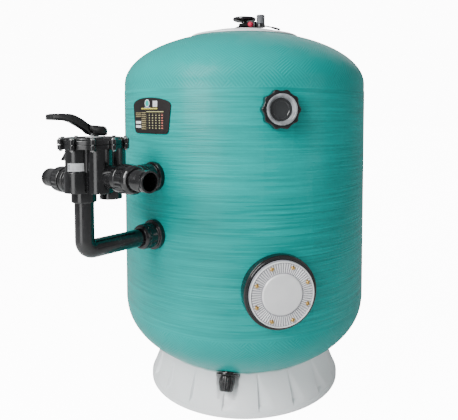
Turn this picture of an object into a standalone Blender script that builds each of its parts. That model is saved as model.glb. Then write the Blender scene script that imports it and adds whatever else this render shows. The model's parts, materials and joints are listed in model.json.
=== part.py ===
"""Side-mount sand filter tank: wound tank, base, hatch, sight glass, top fitting and multiport valve.

Metres, +Z up.  The origin is on the floor, on the tank's axis.  The valve is on the -Y side.
"""
import math

import bmesh
import bpy
from mathutils import Euler, Matrix, Vector

# ---- driving dimensions ------------------------------------------------------------------
GAP = 0.0004                    # clearance between pieces that touch
TANK_R = 0.400
TANK_WALL = 0.006
STRAIGHT_BOTTOM = 0.283         # the cylinder's lower and upper ends
STRAIGHT_TOP = 0.979
LOWER_DOME = 0.233              # height of each elliptical end
UPPER_DOME = 0.178
NECK_HOLE_R = 0.152
ROUND = 32                      # sides of the large turned pieces
MEDIUM_ROUND = 20
SMALL_ROUND = 16

BASE_R = 0.318
BASE_WALL = 0.005
HUB_R = 0.045

VALVE_Y = -0.595                # the multiport valve's axis
BODY_BOTTOM = 0.690
PARTING_Z = 0.810
COVER_TOP = 0.826
LOBE_COUNT = 5
LOBE_R = 0.031
LOBE_PITCH_R = 0.047
CORE_R = 0.056
CHAMBER_R = 0.0525
LUG_COUNT = 10
LUG_PITCH_R = 0.0825
LUG_R = 0.0085
PIN_Z = 0.842
LEVER_REACH = 0.124

UPPER_PORT_Z = 0.707            # where the valve and the elbow pipe join the tank
LOWER_PORT_Z = 0.541
PIPE_R = 0.024
ELBOW_Y = -0.6265
WASTE_Y = -0.5465
PUMP_Z = 0.706                  # side port on -X
RETURN_Z = 0.730                # side port on +X
PORT_END = 0.220

HATCH_ANGLE = math.radians(-36.5)
HATCH_Z = 0.405
HATCH_R = 0.1025
COVER_R = 0.0905
HATCH_BOLTS = 8
HATCH_PITCH_R = 0.0765
SIGHT_Z = 0.8965

DRAIN_ANGLE = math.radians(-60.0)
DRAIN_R = 0.285                 # where the drain's axis meets the lower dome
RELIEF_X = 0.070

PLATE_ANGLE = math.radians(-92.5)
PLATE_BOTTOM = 0.829


# ---- helpers -----------------------------------------------------------------------------
for old in list(bpy.data.objects):
    bpy.data.objects.remove(old, do_unlink=True)

PARTS = bpy.data.collections.new("sand_filter_tank")
CUTTERS = bpy.data.collections.new("cutters")
for group in (PARTS, CUTTERS):
    bpy.context.scene.collection.children.link(group)


def material(name, colour, roughness, metallic=0.0):
    """A plain Principled material with the part's colour."""
    made = bpy.data.materials.new(name)
    made.use_nodes = True
    shader = made.node_tree.nodes["Principled BSDF"]
    shader.inputs["Base Color"].default_value = (*colour, 1.0)
    shader.inputs["Roughness"].default_value = roughness
    shader.inputs["Metallic"].default_value = metallic
    return made


TEAL = material("wound_tank", (0.0, 0.45, 0.42), 0.3)
WHITE = material("white_plastic", (0.82, 0.83, 0.84), 0.4)
BLACK = material("black_plastic", (0.018, 0.018, 0.02), 0.3)
GREY = material("grey_plastic", (0.09, 0.095, 0.10), 0.45)
CLEAR = material("clear_plastic", (0.75, 0.78, 0.80), 0.1)
RUBBER = material("seal_rubber", (0.02, 0.02, 0.02), 0.8)
BRASS = material("brass", (0.75, 0.55, 0.25), 0.3, 1.0)
STEEL = material("stainless_steel", (0.6, 0.6, 0.6), 0.3, 1.0)
RED = material("red_plastic", (0.6, 0.01, 0.05), 0.35)


def link(obj, finish, cutter=False):
    """Put an object in its collection; a cutter has no finish."""
    (CUTTERS if cutter else PARTS).objects.link(obj)
    if cutter:
        obj.hide_render = True
        obj.display_type = "WIRE"
    else:
        obj.data.materials.append(finish)
    return obj


def place(obj, origin, direction=(0, 0, 1)):
    """Stand an object's +Z along a direction, with its origin at a point."""
    obj.location = origin
    obj.rotation_euler = Vector(direction).to_track_quat("Z", "Y").to_euler()
    return obj


def turned(name, profile, finish=None, steps=SMALL_ROUND, closed=False, cutter=False):
    """Turn a profile of (radius, height) points about Z; a closed one makes a ring."""
    mesh = bpy.data.meshes.new(name)
    edges = [(i, i + 1) for i in range(len(profile) - 1)]
    if closed:
        edges.append((len(profile) - 1, 0))
    mesh.from_pydata([(r, 0.0, z) for r, z in profile], edges, [])
    obj = link(bpy.data.objects.new(name, mesh), finish, cutter)
    screw = obj.modifiers.new("turn", "SCREW")
    screw.axis = "Z"
    screw.steps = steps
    screw.render_steps = steps
    screw.use_merge_vertices = True
    screw.merge_threshold = 0.00001
    return obj


def rod(name, radius, low, high, finish=None, steps=SMALL_ROUND, cutter=False):
    """A plain round bar from low to high along its own Z."""
    profile = [(0.0, high), (radius, high), (radius, low), (0.0, low)]
    return turned(name, profile, finish, steps, cutter=cutter)


def tube(name, outer, inner, low, high, finish=None, steps=SMALL_ROUND, cutter=False):
    """A plain ring from low to high along its own Z."""
    profile = [(outer, high), (outer, low), (inner, low), (inner, high)]
    return turned(name, profile, finish, steps, closed=True, cutter=cutter)


def bar(name, centre, size, finish=None, cutter=False):
    """A box, made as a unit cube that is scaled in its mesh."""
    mesh = bpy.data.meshes.new(name)
    work = bmesh.new()
    bmesh.ops.create_cube(work, size=1.0, matrix=Matrix.Diagonal((*size, 1.0)))
    work.to_mesh(mesh)
    work.free()
    obj = link(bpy.data.objects.new(name, mesh), finish, cutter)
    obj.location = centre
    return obj


def posts(name, radius, low, high, centres, steps=12, finish=None, cutter=True):
    """Several round bars in one mesh, none touching the next."""
    mesh = bpy.data.meshes.new(name)
    work = bmesh.new()
    for x, y in centres:
        spot = Matrix.Translation((x, y, (low + high) / 2))
        bmesh.ops.create_cone(work, cap_ends=True, segments=steps, radius1=radius,
                              radius2=radius, depth=high - low, matrix=spot)
    work.to_mesh(mesh)
    work.free()
    return link(bpy.data.objects.new(name, mesh), finish, cutter)


def boolean(target, other, operation="DIFFERENCE"):
    """Cut, join or intersect with the exact solver."""
    change = target.modifiers.new(other.name, "BOOLEAN")
    change.operation = operation
    change.object = other
    change.solver = "EXACT"


def ring_points(count, radius, start=0.0, centre=(0.0, 0.0)):
    """Evenly spaced points on a circle."""
    turns = [start + 2 * math.pi * i / count for i in range(count)]
    return [(centre[0] + radius * math.cos(a), centre[1] + radius * math.sin(a)) for a in turns]


def outline(name, points, thickness, finish=None, cutter=False):
    """A flat outline in its own XY plane, given a thickness along Z."""
    curve = bpy.data.curves.new(name, "CURVE")
    curve.dimensions = "2D"
    curve.fill_mode = "BOTH"
    curve.extrude = thickness / 2
    line = curve.splines.new("POLY")
    line.points.add(len(points) - 1)
    for point, (x, y) in zip(line.points, points):
        point.co = (x, y, 0.0, 1.0)
    line.use_cyclic_u = True
    return meshed(name, curve, finish, cutter)


def meshed(name, curve, finish, cutter):
    """Turn a curve into a welded mesh object, so that it can be cut."""
    guide = bpy.data.objects.new(name + "_curve", curve)
    bpy.context.scene.collection.objects.link(guide)
    bpy.context.view_layer.update()
    ready = guide.evaluated_get(bpy.context.evaluated_depsgraph_get())
    mesh = bpy.data.meshes.new_from_object(ready)
    mesh.name = name
    bpy.data.objects.remove(guide, do_unlink=True)
    mesh.materials.clear()
    work = bmesh.new()
    work.from_mesh(mesh)
    bmesh.ops.remove_doubles(work, verts=work.verts, dist=0.00001)
    bmesh.ops.recalc_face_normals(work, faces=work.faces)
    work.to_mesh(mesh)
    work.free()
    return link(bpy.data.objects.new(name, mesh), finish, cutter)


def piped(name, points, radius, finish=None, resolution=4, cutter=False):
    """A round bar along a line of points."""
    curve = bpy.data.curves.new(name, "CURVE")
    curve.dimensions = "3D"
    curve.bevel_depth = radius
    curve.bevel_resolution = resolution
    curve.use_fill_caps = True
    line = curve.splines.new("POLY")
    line.points.add(len(points) - 1)
    for point, spot in zip(line.points, points):
        point.co = (*spot, 1.0)
    return meshed(name, curve, finish, cutter)


def smooth(obj):
    """Shade the mesh smooth apart from its sharp edges."""
    if obj.data.polygons:
        obj.data.shade_smooth()
        obj.data.set_sharp_from_angle(angle=math.radians(35))


def upper_dome(r, offset=0.0):
    """Height of the upper end's outer face at a radius, or of a face offset inwards."""
    half, rise = TANK_R - offset, UPPER_DOME - offset
    return STRAIGHT_TOP + rise * math.sqrt(max(0.0, 1 - (r / half) ** 2))


def lower_dome(r, offset=0.0):
    """Height of the lower end's outer face at a radius, or of a face offset inwards."""
    half, drop = TANK_R - offset, LOWER_DOME - offset
    return STRAIGHT_BOTTOM - drop * math.sqrt(max(0.0, 1 - (r / half) ** 2))


def tank_profile(offset, hole_r, rows=6):
    """Outer or inner face of the tank, from the neck hole down to the lower pole."""
    half = TANK_R - offset
    first = math.asin(hole_r / half)
    steps = [first + (math.pi / 2 - first) * i / rows for i in range(rows + 1)]
    points = [(half * math.sin(a), upper_dome(half * math.sin(a), offset)) for a in steps]
    steps = [math.pi / 2 * (1 - i / rows) for i in range(rows + 1)]
    points += [(half * math.sin(a), lower_dome(half * math.sin(a), offset)) for a in steps]
    points[-1] = (0.0, points[-1][1])
    return points


def radial(angle, radius, z):
    """A point at an angle and a distance from the tank's axis."""
    return Vector((radius * math.cos(angle), radius * math.sin(angle), z))


# ---- tank --------------------------------------------------------------------------------
def tank_shell():
    outside = tank_profile(0.0, NECK_HOLE_R)
    inside = tank_profile(TANK_WALL, NECK_HOLE_R)
    shell = turned("tank_shell", list(reversed(inside)) + outside, TEAL, ROUND)
    hatch_way = radial(HATCH_ANGLE, 1.0, 0.0)
    hatch_cut = rod("hatch_cut", HATCH_R + 2 * GAP, 0.3, 0.5, steps=MEDIUM_ROUND, cutter=True)
    boolean(shell, place(hatch_cut, (0, 0, HATCH_Z), hatch_way))
    sight_cut = rod("sight_cut", 0.0428, 0.3, 0.5, cutter=True)
    boolean(shell, place(sight_cut, (0, 0, SIGHT_Z), hatch_way))
    for z in (UPPER_PORT_Z, LOWER_PORT_Z):
        port_cut = rod(f"port_cut_{z}", 0.0305, 0.3, 0.5, cutter=True)
        boolean(shell, place(port_cut, (0.0002, 0, z), (0, -1, 0)))
    drain_cut = rod("drain_cut", 0.0165, -0.05, 0.05, steps=16, cutter=True)
    boolean(shell, place(drain_cut, drain_root(), drain_way()))


def drain_root():
    """Where the drain's axis meets the lower dome."""
    return radial(DRAIN_ANGLE, DRAIN_R, lower_dome(DRAIN_R))


def drain_way():
    """The dome's outward normal at the drain."""
    drop = (lower_dome(DRAIN_R) - STRAIGHT_BOTTOM) / LOWER_DOME ** 2
    return radial(DRAIN_ANGLE, DRAIN_R / TANK_R ** 2, drop).normalized()


def name_plate():
    shell = tube("name_plate", TANK_R + 0.0030, TANK_R + 0.0007, 0.80, 0.96, BLACK, 96)
    half_top, half_bottom, corner = 0.086, 0.076, 0.012
    low, shoulder, crown = 0.0, 0.081, 0.102
    arch = [(half_top * math.cos(a), shoulder + (crown - shoulder) * math.sin(a))
            for a in (math.pi * (i + 1) / 12 for i in range(11))]
    points = [(-half_bottom + corner, low), (half_bottom - corner, low),
              (half_bottom, low + corner), (half_top, shoulder)]
    points += arch + [(-half_top, shoulder), (-half_bottom, low + corner)]
    cutter = outline("plate_cut", points, 0.1, cutter=True)
    cutter.location = radial(PLATE_ANGLE, TANK_R, PLATE_BOTTOM)
    cutter.rotation_euler = Euler((math.pi / 2, 0, PLATE_ANGLE + math.pi / 2))
    boolean(shell, cutter, "INTERSECT")


def neck_and_lid():
    edge = 0.183
    top = 1.1445
    ring = [(0.178, top), (edge, top - 0.003)]
    ring += [(r, upper_dome(r) + GAP) for r in (edge, 0.168, NECK_HOLE_R)]
    ring += [(0.1513, upper_dome(NECK_HOLE_R) + GAP), (0.1513, 1.128), (0.1425, 1.128),
             (0.1425, top), (0.1460, top), (0.1460, 1.1408), (0.1510, 1.1408), (0.1510, top)]
    turned("neck_ring", ring, WHITE, ROUND, closed=True)
    seal = [(0.1485 + 0.0016 * math.cos(a), 1.1427 + 0.0016 * math.sin(a))
            for a in (-math.pi * i / 3 for i in range(6))]
    turned("lid_seal", seal, RUBBER, ROUND, closed=True)
    rim = top + GAP
    lid = [(0.0, 1.1632), (0.049, 1.1632), (0.090, 1.1602), (0.125, 1.1558), (0.150, 1.1502),
           (0.156, 1.1475), (0.156, rim), (0.1412, rim), (0.1405, 1.128), (0.134, 1.128),
           (0.134, 1.1405), (0.100, 1.1500), (0.0, 1.1560)]
    turned("tank_lid", lid, WHITE, ROUND)


def base():
    skirt = [(0.2800, 0.1160), (0.2815, 0.1120), (0.2860, 0.0920), (0.2940, 0.0680),
             (0.3030, 0.0460), (0.3100, 0.0280), (0.3130, 0.0160), (BASE_R, 0.0130),
             (BASE_R, 0.0), (0.2850, 0.0), (0.2850, BASE_WALL), (0.3060, BASE_WALL),
             (0.3030, 0.0260), (0.2970, 0.0440), (0.2880, 0.0660), (0.2800, 0.0900),
             (0.2755, 0.1080)]
    skirt.append((0.2755, lower_dome(0.2755) - 2 * GAP))
    skirt[0] = (0.2800, lower_dome(0.2800) - 2 * GAP)
    ring = turned("base_ring", skirt, WHITE, ROUND, closed=True)
    hub = rod("hub_add", HUB_R, 0.0, 0.046, cutter=True)
    boolean(ring, hub, "UNION")
    web_height = 0.125
    for index in range(4):
        angle = math.pi / 4 + index * math.pi / 2
        web = bar(f"web_add_{index}", radial(angle, 0.155, web_height / 2 + 0.0005),
                  (0.262, 0.006, web_height), cutter=True)
        web.rotation_euler = Euler((0, 0, angle))
        boolean(ring, web, "UNION")
    bowl = [(r, lower_dome(r) - 2 * GAP) for r in (0.0, 0.06, 0.12, 0.17, 0.21, 0.245, 0.29, 0.33)]
    bowl_cut = turned("bowl_cut", [(0.0, 0.35), (0.33, 0.35)] + bowl[::-1], steps=ROUND,
                      cutter=True)
    boolean(ring, bowl_cut)
    notch = rod("drain_notch", 0.0365, -0.02, 0.075, cutter=True)
    boolean(ring, place(notch, drain_root(), drain_way()))


# ---- hatch and sight glass ---------------------------------------------------------------
def hatch():
    way = radial(HATCH_ANGLE, 1.0, 0.0)
    centre = (0, 0, HATCH_Z)
    face = 0.4200
    back = 0.4222
    front = 0.4370
    flange = tube("hatch_flange", HATCH_R, 0.0580, 0.3720, face, BLACK, MEDIUM_ROUND)
    place(flange, centre, way)
    # the first hole is half a step round, so that none stands straight above the middle
    half_step = math.pi / HATCH_BOLTS
    spots = ring_points(HATCH_BOLTS, HATCH_PITCH_R, half_step)
    blind = posts("hatch_blind_holes", 0.0036, face - 0.020, face + 0.01, spots, 6)
    boolean(flange, place(blind, centre, way))
    seal = tube("hatch_seal", 0.0685, 0.0600, face + GAP, back - GAP, RUBBER, MEDIUM_ROUND)
    place(seal, centre, way)
    profile = [(0.0, front), (0.0540, front), (0.0570, front - 0.0035), (0.0850, front - 0.0045),
               (0.0880, front - 0.0015), (COVER_R, front - 0.0030), (COVER_R, back), (0.0, back)]
    cover = turned("hatch_cover", profile, CLEAR, MEDIUM_ROUND)
    holes = posts("hatch_cover_holes", 0.0036, back - 0.01, front + 0.01, spots, 6)
    place(cover, centre, way)
    boolean(cover, place(holes, centre, way))
    seat = front - 0.0040 + GAP
    for index, (x, y) in enumerate(spots):
        head = [(0.0, seat + 0.0062), (0.0035, seat + 0.0055), (0.0056, seat + 0.0030),
                (0.0062, seat), (0.0030, seat), (0.0030, face - 0.0190), (0.0, face - 0.0190)]
        bolt = turned(f"hatch_bolt_{index + 1}", head, BRASS, 6)
        place(bolt, centre, way)
        bolt.location = Vector(centre) + bolt.rotation_euler.to_matrix() @ Vector((x, y, 0))


def sight_glass():
    way = radial(HATCH_ANGLE, 1.0, 0.0)
    centre = (0, 0, SIGHT_Z)
    seat = TANK_R + 0.0008
    body = [(0.0420, 0.4290), (0.0420, 0.3880), (0.0500, 0.3880), (0.0500, 0.3780),
            (0.0310, 0.3780), (0.0310, 0.4290)]
    ring = turned("sight_ring", body, CLEAR, MEDIUM_ROUND, closed=True)
    place(ring, centre, way)
    nut = tube("sight_nut", 0.0500, 0.0428, seat, 0.4235, BLACK, MEDIUM_ROUND)
    lugs = posts("sight_nut_lobes", 0.0085, seat + 0.0007, 0.4228, ring_points(10, 0.0463), 8)
    place(nut, centre, way)
    boolean(nut, place(lugs, centre, way), "UNION")
    boolean(nut, place(rod("sight_nut_bore", 0.0428, 0.38, 0.44, steps=MEDIUM_ROUND, cutter=True),
                       centre, way))
    lens = rod("sight_lens", 0.0305, 0.4080, 0.4160, GREY, MEDIUM_ROUND)
    place(lens, centre, way)


# ---- top fitting -------------------------------------------------------------------------
def top_fitting():
    seat = 1.1632 + GAP
    profile = [(0.0, 1.1770), (0.0300, 1.1770), (0.0350, 1.1745), (0.0470, 1.1665),
               (0.0470, seat), (0.0, seat)]
    foot = turned("top_fitting", profile, BLACK, MEDIUM_ROUND)
    tee_end = RELIEF_X - 0.0148
    tee = bar("tee_add", ((tee_end - 0.016) / 2, 0, 1.1805), (tee_end + 0.016, 0.027, 0.020),
              cutter=True)
    boolean(foot, tee, "UNION")
    cup = rod("relief_seat_add", 0.0150, 1.1697, 1.1800, cutter=True)
    cup.location = (RELIEF_X, 0, 0)
    boolean(foot, cup, "UNION")
    plug_bore = rod("plug_bore", 0.0052, 0.0080, 0.0300, steps=12, cutter=True)
    boolean(foot, place(plug_bore, (0.041, 0, 1.1815), (0, -1, 0)))
    knob = [(0.0, 1.2107), (0.0115, 1.2107), (0.0135, 1.2090), (0.0140, 1.1810), (0.0, 1.1810)]
    knob = turned("relief_knob", knob, GREY, SMALL_ROUND)
    knob.location = (RELIEF_X, 0, 0)
    plug = [(0.0, 0.0250), (0.0050, 0.0243), (0.0080, 0.0210), (0.0085, 0.0139),
            (0.0046, 0.0139), (0.0046, 0.0085), (0.0, 0.0085)]
    place(turned("test_plug", plug, RED, 16), (0.041, 0, 1.1815), (0, -1, 0))
    case = [(0.0, 1.2030), (0.0350, 1.2030), (0.0350, 1.2090), (0.0375, 1.2090),
            (0.0390, 1.2075), (0.0390, 1.2015), (0.0330, 1.1975), (0.0120, 1.1955),
            (0.0080, 1.1955), (0.0080, 1.1909), (0.0, 1.1909)]
    turned("gauge_case", case, BLACK, MEDIUM_ROUND)
    needle = outline("gauge_needle", [(-0.0016, -0.0090), (0.0016, -0.0090), (0.0022, 0.0),
                                      (0.0003, 0.0270), (-0.0003, 0.0270), (-0.0022, 0.0)],
                     0.0008, RED)
    needle.location = (0, 0, 1.2042)
    needle.rotation_euler = Euler((0, 0, math.radians(135)))
    rod("gauge_lens", 0.0341, 1.2062, 1.2078, CLEAR, MEDIUM_ROUND)
    turn = math.radians(52)
    out = Vector((math.cos(turn), math.sin(turn), 0.0))
    start = Vector((RELIEF_X, 0, 1.1750)) + out * (0.0150 + GAP)
    knee = start + out * 0.022 + Vector((0, 0, -0.004))
    end = start + out * 0.052 + Vector((0, 0, -0.010))
    spout = piped("vent_tube", [start, knee, end - out * 0.001], 0.0018, BLACK, 1)
    nozzle = piped("vent_nozzle_add", [knee, end], 0.0034, cutter=True, resolution=2)
    boolean(spout, nozzle, "UNION")


# ---- tank fittings, pipes and what is inside -----------------------------------------------
def bulkhead(name, z, inner_end):
    """A flanged connector through the wall, with a threaded stub for its union nut."""
    profile = [(0.0260, 0.4440), (0.0260, 0.4160), (0.0365, 0.4160), (0.0365, 0.4125),
               (0.0430, 0.4125), (0.0430, 0.3900), (0.0295, 0.3900), (0.0295, inner_end),
               (0.0190, inner_end), (0.0190, 0.4440)]
    made = turned(name, profile, BLACK, SMALL_ROUND, closed=True)
    place(made, (0, 0, z), (0, -1, 0))
    seat = rod(name + "_seat", TANK_R + GAP, z - 0.05, z + 0.05, steps=ROUND, cutter=True)
    core = rod(name + "_core", 0.0298, 0.30, 0.50, cutter=True)
    place(core, (0, 0, z), (0, -1, 0))
    boolean(seat, core)
    boolean(made, seat)


def union_nut(name, centre, way, low, high, outer, inner, throat):
    """A nut that turns on the stub, closed to the pipe's size at its outer end."""
    lip = 0.006
    profile = [(outer - 0.003, high), (outer, high - 0.003), (outer, low), (inner, low),
               (inner, high - lip), (throat, high - lip), (throat, high)]
    place(turned(name, profile, BLACK, SMALL_ROUND, closed=True), centre, way)


def elbow_pipe():
    bend = 0.026
    corner = Vector((0, ELBOW_Y, LOWER_PORT_Z))
    arc = []
    for i in range(5):
        a = math.pi / 2 * i / 4
        arc.append(corner + Vector((0, bend - bend * math.cos(a), bend - bend * math.sin(a))))
    top = Vector((0, ELBOW_Y, BODY_BOTTOM - 0.0008))
    end = Vector((0, -0.4448, LOWER_PORT_Z))
    pipe = piped("elbow_pipe", [top] + arc + [end], PIPE_R, BLACK, 4)
    collar = rod("collar_add", 0.0310, 0.6640, BODY_BOTTOM - 0.0006, cutter=True)
    collar.location = (0, ELBOW_Y, 0)
    boolean(pipe, collar, "UNION")
    tail = rod("pipe_shoulder_add", 0.0285, 0.4446, 0.4484, cutter=True)
    boolean(pipe, place(tail, (0, 0, LOWER_PORT_Z), (0, -1, 0)), "UNION")
    bore = [top + Vector((0, 0, 0.02))] + arc + [end + Vector((0, 0.02, 0))]
    boolean(pipe, piped("elbow_bore", bore, 0.0195, cutter=True, resolution=3))


def diffuser():
    """Water from the valve rises to a dished head under the lid."""
    head = [(0.0, 1.0000), (0.0700, 1.0000), (0.0850, 0.9850), (0.0850, 0.9800),
            (0.0660, 0.9920), (0.0, 0.9920)]
    made = turned("diffuser", head, BLACK, SMALL_ROUND)
    riser = piped("riser_add", [(0, -0.3720, UPPER_PORT_Z), (0, -0.03, UPPER_PORT_Z),
                                (0, 0, UPPER_PORT_Z + 0.03), (0, 0, 0.9950)], PIPE_R,
                  cutter=True, resolution=2)
    boolean(made, riser, "UNION")


def underdrain():
    """Slotted laterals round a hub collect the clean water at the bottom."""
    hub = rod("underdrain", 0.0450, 0.1050, 0.1550, WHITE)
    riser = piped("collector_add", [(0, -0.3720, LOWER_PORT_Z), (0, -0.08, LOWER_PORT_Z),
                                    (0, 0, LOWER_PORT_Z - 0.08), (0, 0, 0.1500)], PIPE_R,
                  cutter=True, resolution=2)
    boolean(hub, riser, "UNION")
    for index in range(4):
        angle = math.pi / 4 * index + math.pi / 8
        reach = radial(angle, 0.215, 0.0)
        lateral = piped(f"lateral_add_{index}", [-reach + Vector((0, 0, 0.130 + 0.0002 * index)),
                                                 reach + Vector((0, 0, 0.130 + 0.0002 * index))],
                        0.0110, cutter=True, resolution=1)
        boolean(hub, lateral, "UNION")


def drain():
    root, way = drain_root(), drain_way()
    body = [(0.0255, 0.0110), (0.0340, 0.0080), (0.0340, 0.0020), (0.0160, 0.0020),
            (0.0160, -0.0140), (0.0080, -0.0140), (0.0080, 0.0320), (0.0175, 0.0320),
            (0.0175, 0.0110)]
    made = turned("drain_body", body[2:] + body[:2], BLACK, SMALL_ROUND, closed=True)
    place(made, root, way)
    bowl = [(r, lower_dome(r) - GAP) for r in (0.20, 0.24, 0.265, 0.285, 0.305, 0.33)]
    dome_cut = turned("dome_cut", [(0.20, 0.30), (0.33, 0.30)] + bowl[::-1], steps=ROUND,
                      closed=True, cutter=True)
    boolean(dome_cut, place(rod("dome_cut_core", 0.0163, -0.05, 0.05, cutter=True), root, way))
    boolean(made, dome_cut)
    cap = [(0.0, 0.0520), (0.0165, 0.0520), (0.0190, 0.0500), (0.0235, 0.0300),
           (0.0235, 0.0120), (0.0181, 0.0120), (0.0181, 0.0330), (0.0, 0.0330)]
    place(turned("drain_cap", cap, BLACK, SMALL_ROUND), root, way)


# ---- multiport valve -----------------------------------------------------------------------
WING_Z = 0.7740
WING_WAY = Vector((math.cos(math.radians(198)), math.sin(math.radians(198)), 0.0))


def clover(count=50):
    """Plan of the valve's body: a round core with a lobe for each port chamber."""
    points = []
    for i in range(count):
        angle = 2 * math.pi * i / count
        off = (angle + math.pi / LOBE_COUNT) % (2 * math.pi / LOBE_COUNT) - math.pi / LOBE_COUNT
        across = LOBE_PITCH_R * math.sin(off)
        reach = LOBE_PITCH_R * math.cos(off) + math.sqrt(LOBE_R ** 2 - across ** 2)
        reach = max(CORE_R, reach)
        points.append((reach * math.sin(angle), -reach * math.cos(angle)))
    return points


def valve_body():
    centre = (0, VALVE_Y, 0)
    top = PARTING_Z - GAP
    rim_low = PARTING_Z - 0.0110
    body = rod("valve_body", 0.0785, rim_low, top, BLACK, 30)
    body.location = centre
    trunk_top = rim_low + 0.004
    trunk = outline("trunk_add", clover(), trunk_top - BODY_BOTTOM, cutter=True)
    trunk.location = (0, VALVE_Y, (BODY_BOTTOM + trunk_top) / 2)
    boolean(body, trunk, "UNION")
    foot = rod("lobe_foot_add", LOBE_R + 0.0030, BODY_BOTTOM + 0.0010, 0.7420, cutter=True)
    foot.location = (0, VALVE_Y - LOBE_PITCH_R, 0)
    boolean(body, foot, "UNION")
    spots = ring_points(LUG_COUNT, LUG_PITCH_R, 0, (0, VALVE_Y))
    boolean(body, posts("body_lugs_add", LUG_R, rim_low - 0.0010, top - 0.0010, spots, 8), "UNION")
    sides = (("pump", PUMP_Z, -1), ("return", RETURN_Z, 1))
    for name, z, side in sides:
        arm = [(0.0, 0.1440), (0.0270, 0.1440), (0.0270, 0.1260), (0.0345, 0.1250),
               (0.0345, 0.1080), (0.0290, 0.1060), (0.0290, 0.0300), (0.0, 0.0300)]
        arm = turned(name + "_arm_add", arm, steps=SMALL_ROUND, cutter=True)
        boolean(body, place(arm, (0, VALVE_Y, z), (side, 0, 0)), "UNION")
    neck = [(0.0, 0.1504), (0.0292, 0.1504), (0.0292, 0.1435), (0.0262, 0.1435),
            (0.0262, 0.0300), (0.0, 0.0300)]
    neck = turned("tank_neck_add", neck, steps=SMALL_ROUND, cutter=True)
    boolean(body, place(neck, (0, VALVE_Y, UPPER_PORT_Z), (0, 1, 0)), "UNION")
    waste = rod("waste_add", 0.0290, BODY_BOTTOM - 0.0270, BODY_BOTTOM + 0.0200, cutter=True)
    waste.location = (0, WASTE_Y, 0)
    boolean(body, waste, "UNION")
    chamber = rod("chamber_cut", CHAMBER_R, 0.7280, 0.8300, steps=30, cutter=True)
    chamber.location = centre
    boolean(body, chamber)
    for name, z, way in (("pump", PUMP_Z, Vector((-1, 0, 0))),
                         ("return", RETURN_Z, Vector((1, 0, 0))),
                         ("tank", UPPER_PORT_Z, Vector((0, 1, 0)))):
        axis = Vector((0.0003, VALVE_Y + 0.0004, z + 0.0002))
        drop = Vector((0, 0, 0.012))
        route = [axis + way * 0.0332 + Vector((0.0002, 0, 0.7463 - z)),
                 axis + way * 0.0332 + drop, axis + way * 0.0463, axis + way * 0.1607]
        boolean(body, piped(name + "_bore", route, 0.0162, cutter=True, resolution=2))
    for name, y, end in (("waste", WASTE_Y, 0.6815), ("elbow", ELBOW_Y, 0.7400)):
        bore = rod(name + "_port_bore", 0.0172, 0.6500, end, steps=13, cutter=True)
        bore.location = (0.0003, y, 0)
        bore.rotation_euler = Euler((0, 0, 0.1))
        boolean(body, bore)
    boolean(body, posts("body_lug_holes", 0.0032, 0.7900, 0.8200, spots, 6))


def wing_plug():
    """A small threaded plug with a wing, on a boss at the valve's side."""
    profile = [(0.0, 0.0900), (0.0060, 0.0900), (0.0080, 0.0880), (0.0095, 0.0830),
               (0.0095, 0.0785), (0.0, 0.0785)]
    plug = turned("wing_plug", profile, BLACK, 12)
    place(plug, (0, VALVE_Y, WING_Z), WING_WAY)
    wing = bar("wing_add", (0, 0, 0), (0.0220, 0.0034, 0.0090), cutter=True)
    boolean(plug, place(wing, Vector((0, VALVE_Y, WING_Z)) + WING_WAY * 0.0925, WING_WAY),
            "UNION")


def valve_cover():
    low = PARTING_Z + GAP
    profile = [(0.0225, COVER_TOP - 0.0030), (0.0640, COVER_TOP - 0.0030), (0.0665, COVER_TOP),
               (0.0725, COVER_TOP), (0.0740, COVER_TOP - 0.0020), (0.0785, COVER_TOP - 0.0060),
               (0.0785, low), (0.0108, low), (0.0108, COVER_TOP), (0.0225, COVER_TOP)]
    cover = turned("valve_cover", profile, BLACK, 30, closed=True)
    cover.location = (0, VALVE_Y, 0)
    spots = ring_points(LUG_COUNT, LUG_PITCH_R, 0, (0, VALVE_Y))
    lugs = posts("cover_lugs_add", LUG_R, low + 0.0004, COVER_TOP - 0.0030, spots, 8)
    boolean(cover, lugs, "UNION")
    boolean(cover, posts("cover_lug_holes", 0.0032, 0.80, 0.84, spots, 6))
    for index, (x, y) in enumerate(spots):
        high = COVER_TOP - 0.0030 + GAP
        under = PARTING_Z - 0.0120 - GAP
        profile = [(0.0, high + 0.0042), (0.0040, high + 0.0042), (0.0052, high + 0.0030),
                   (0.0052, high), (0.0026, high), (0.0026, under), (0.0050, under),
                   (0.0050, under - 0.0040), (0.0, under - 0.0040)]
        bolt = turned(f"cover_bolt_{index + 1}", profile, STEEL, 6)
        bolt.location = (x, y, 0)


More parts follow.
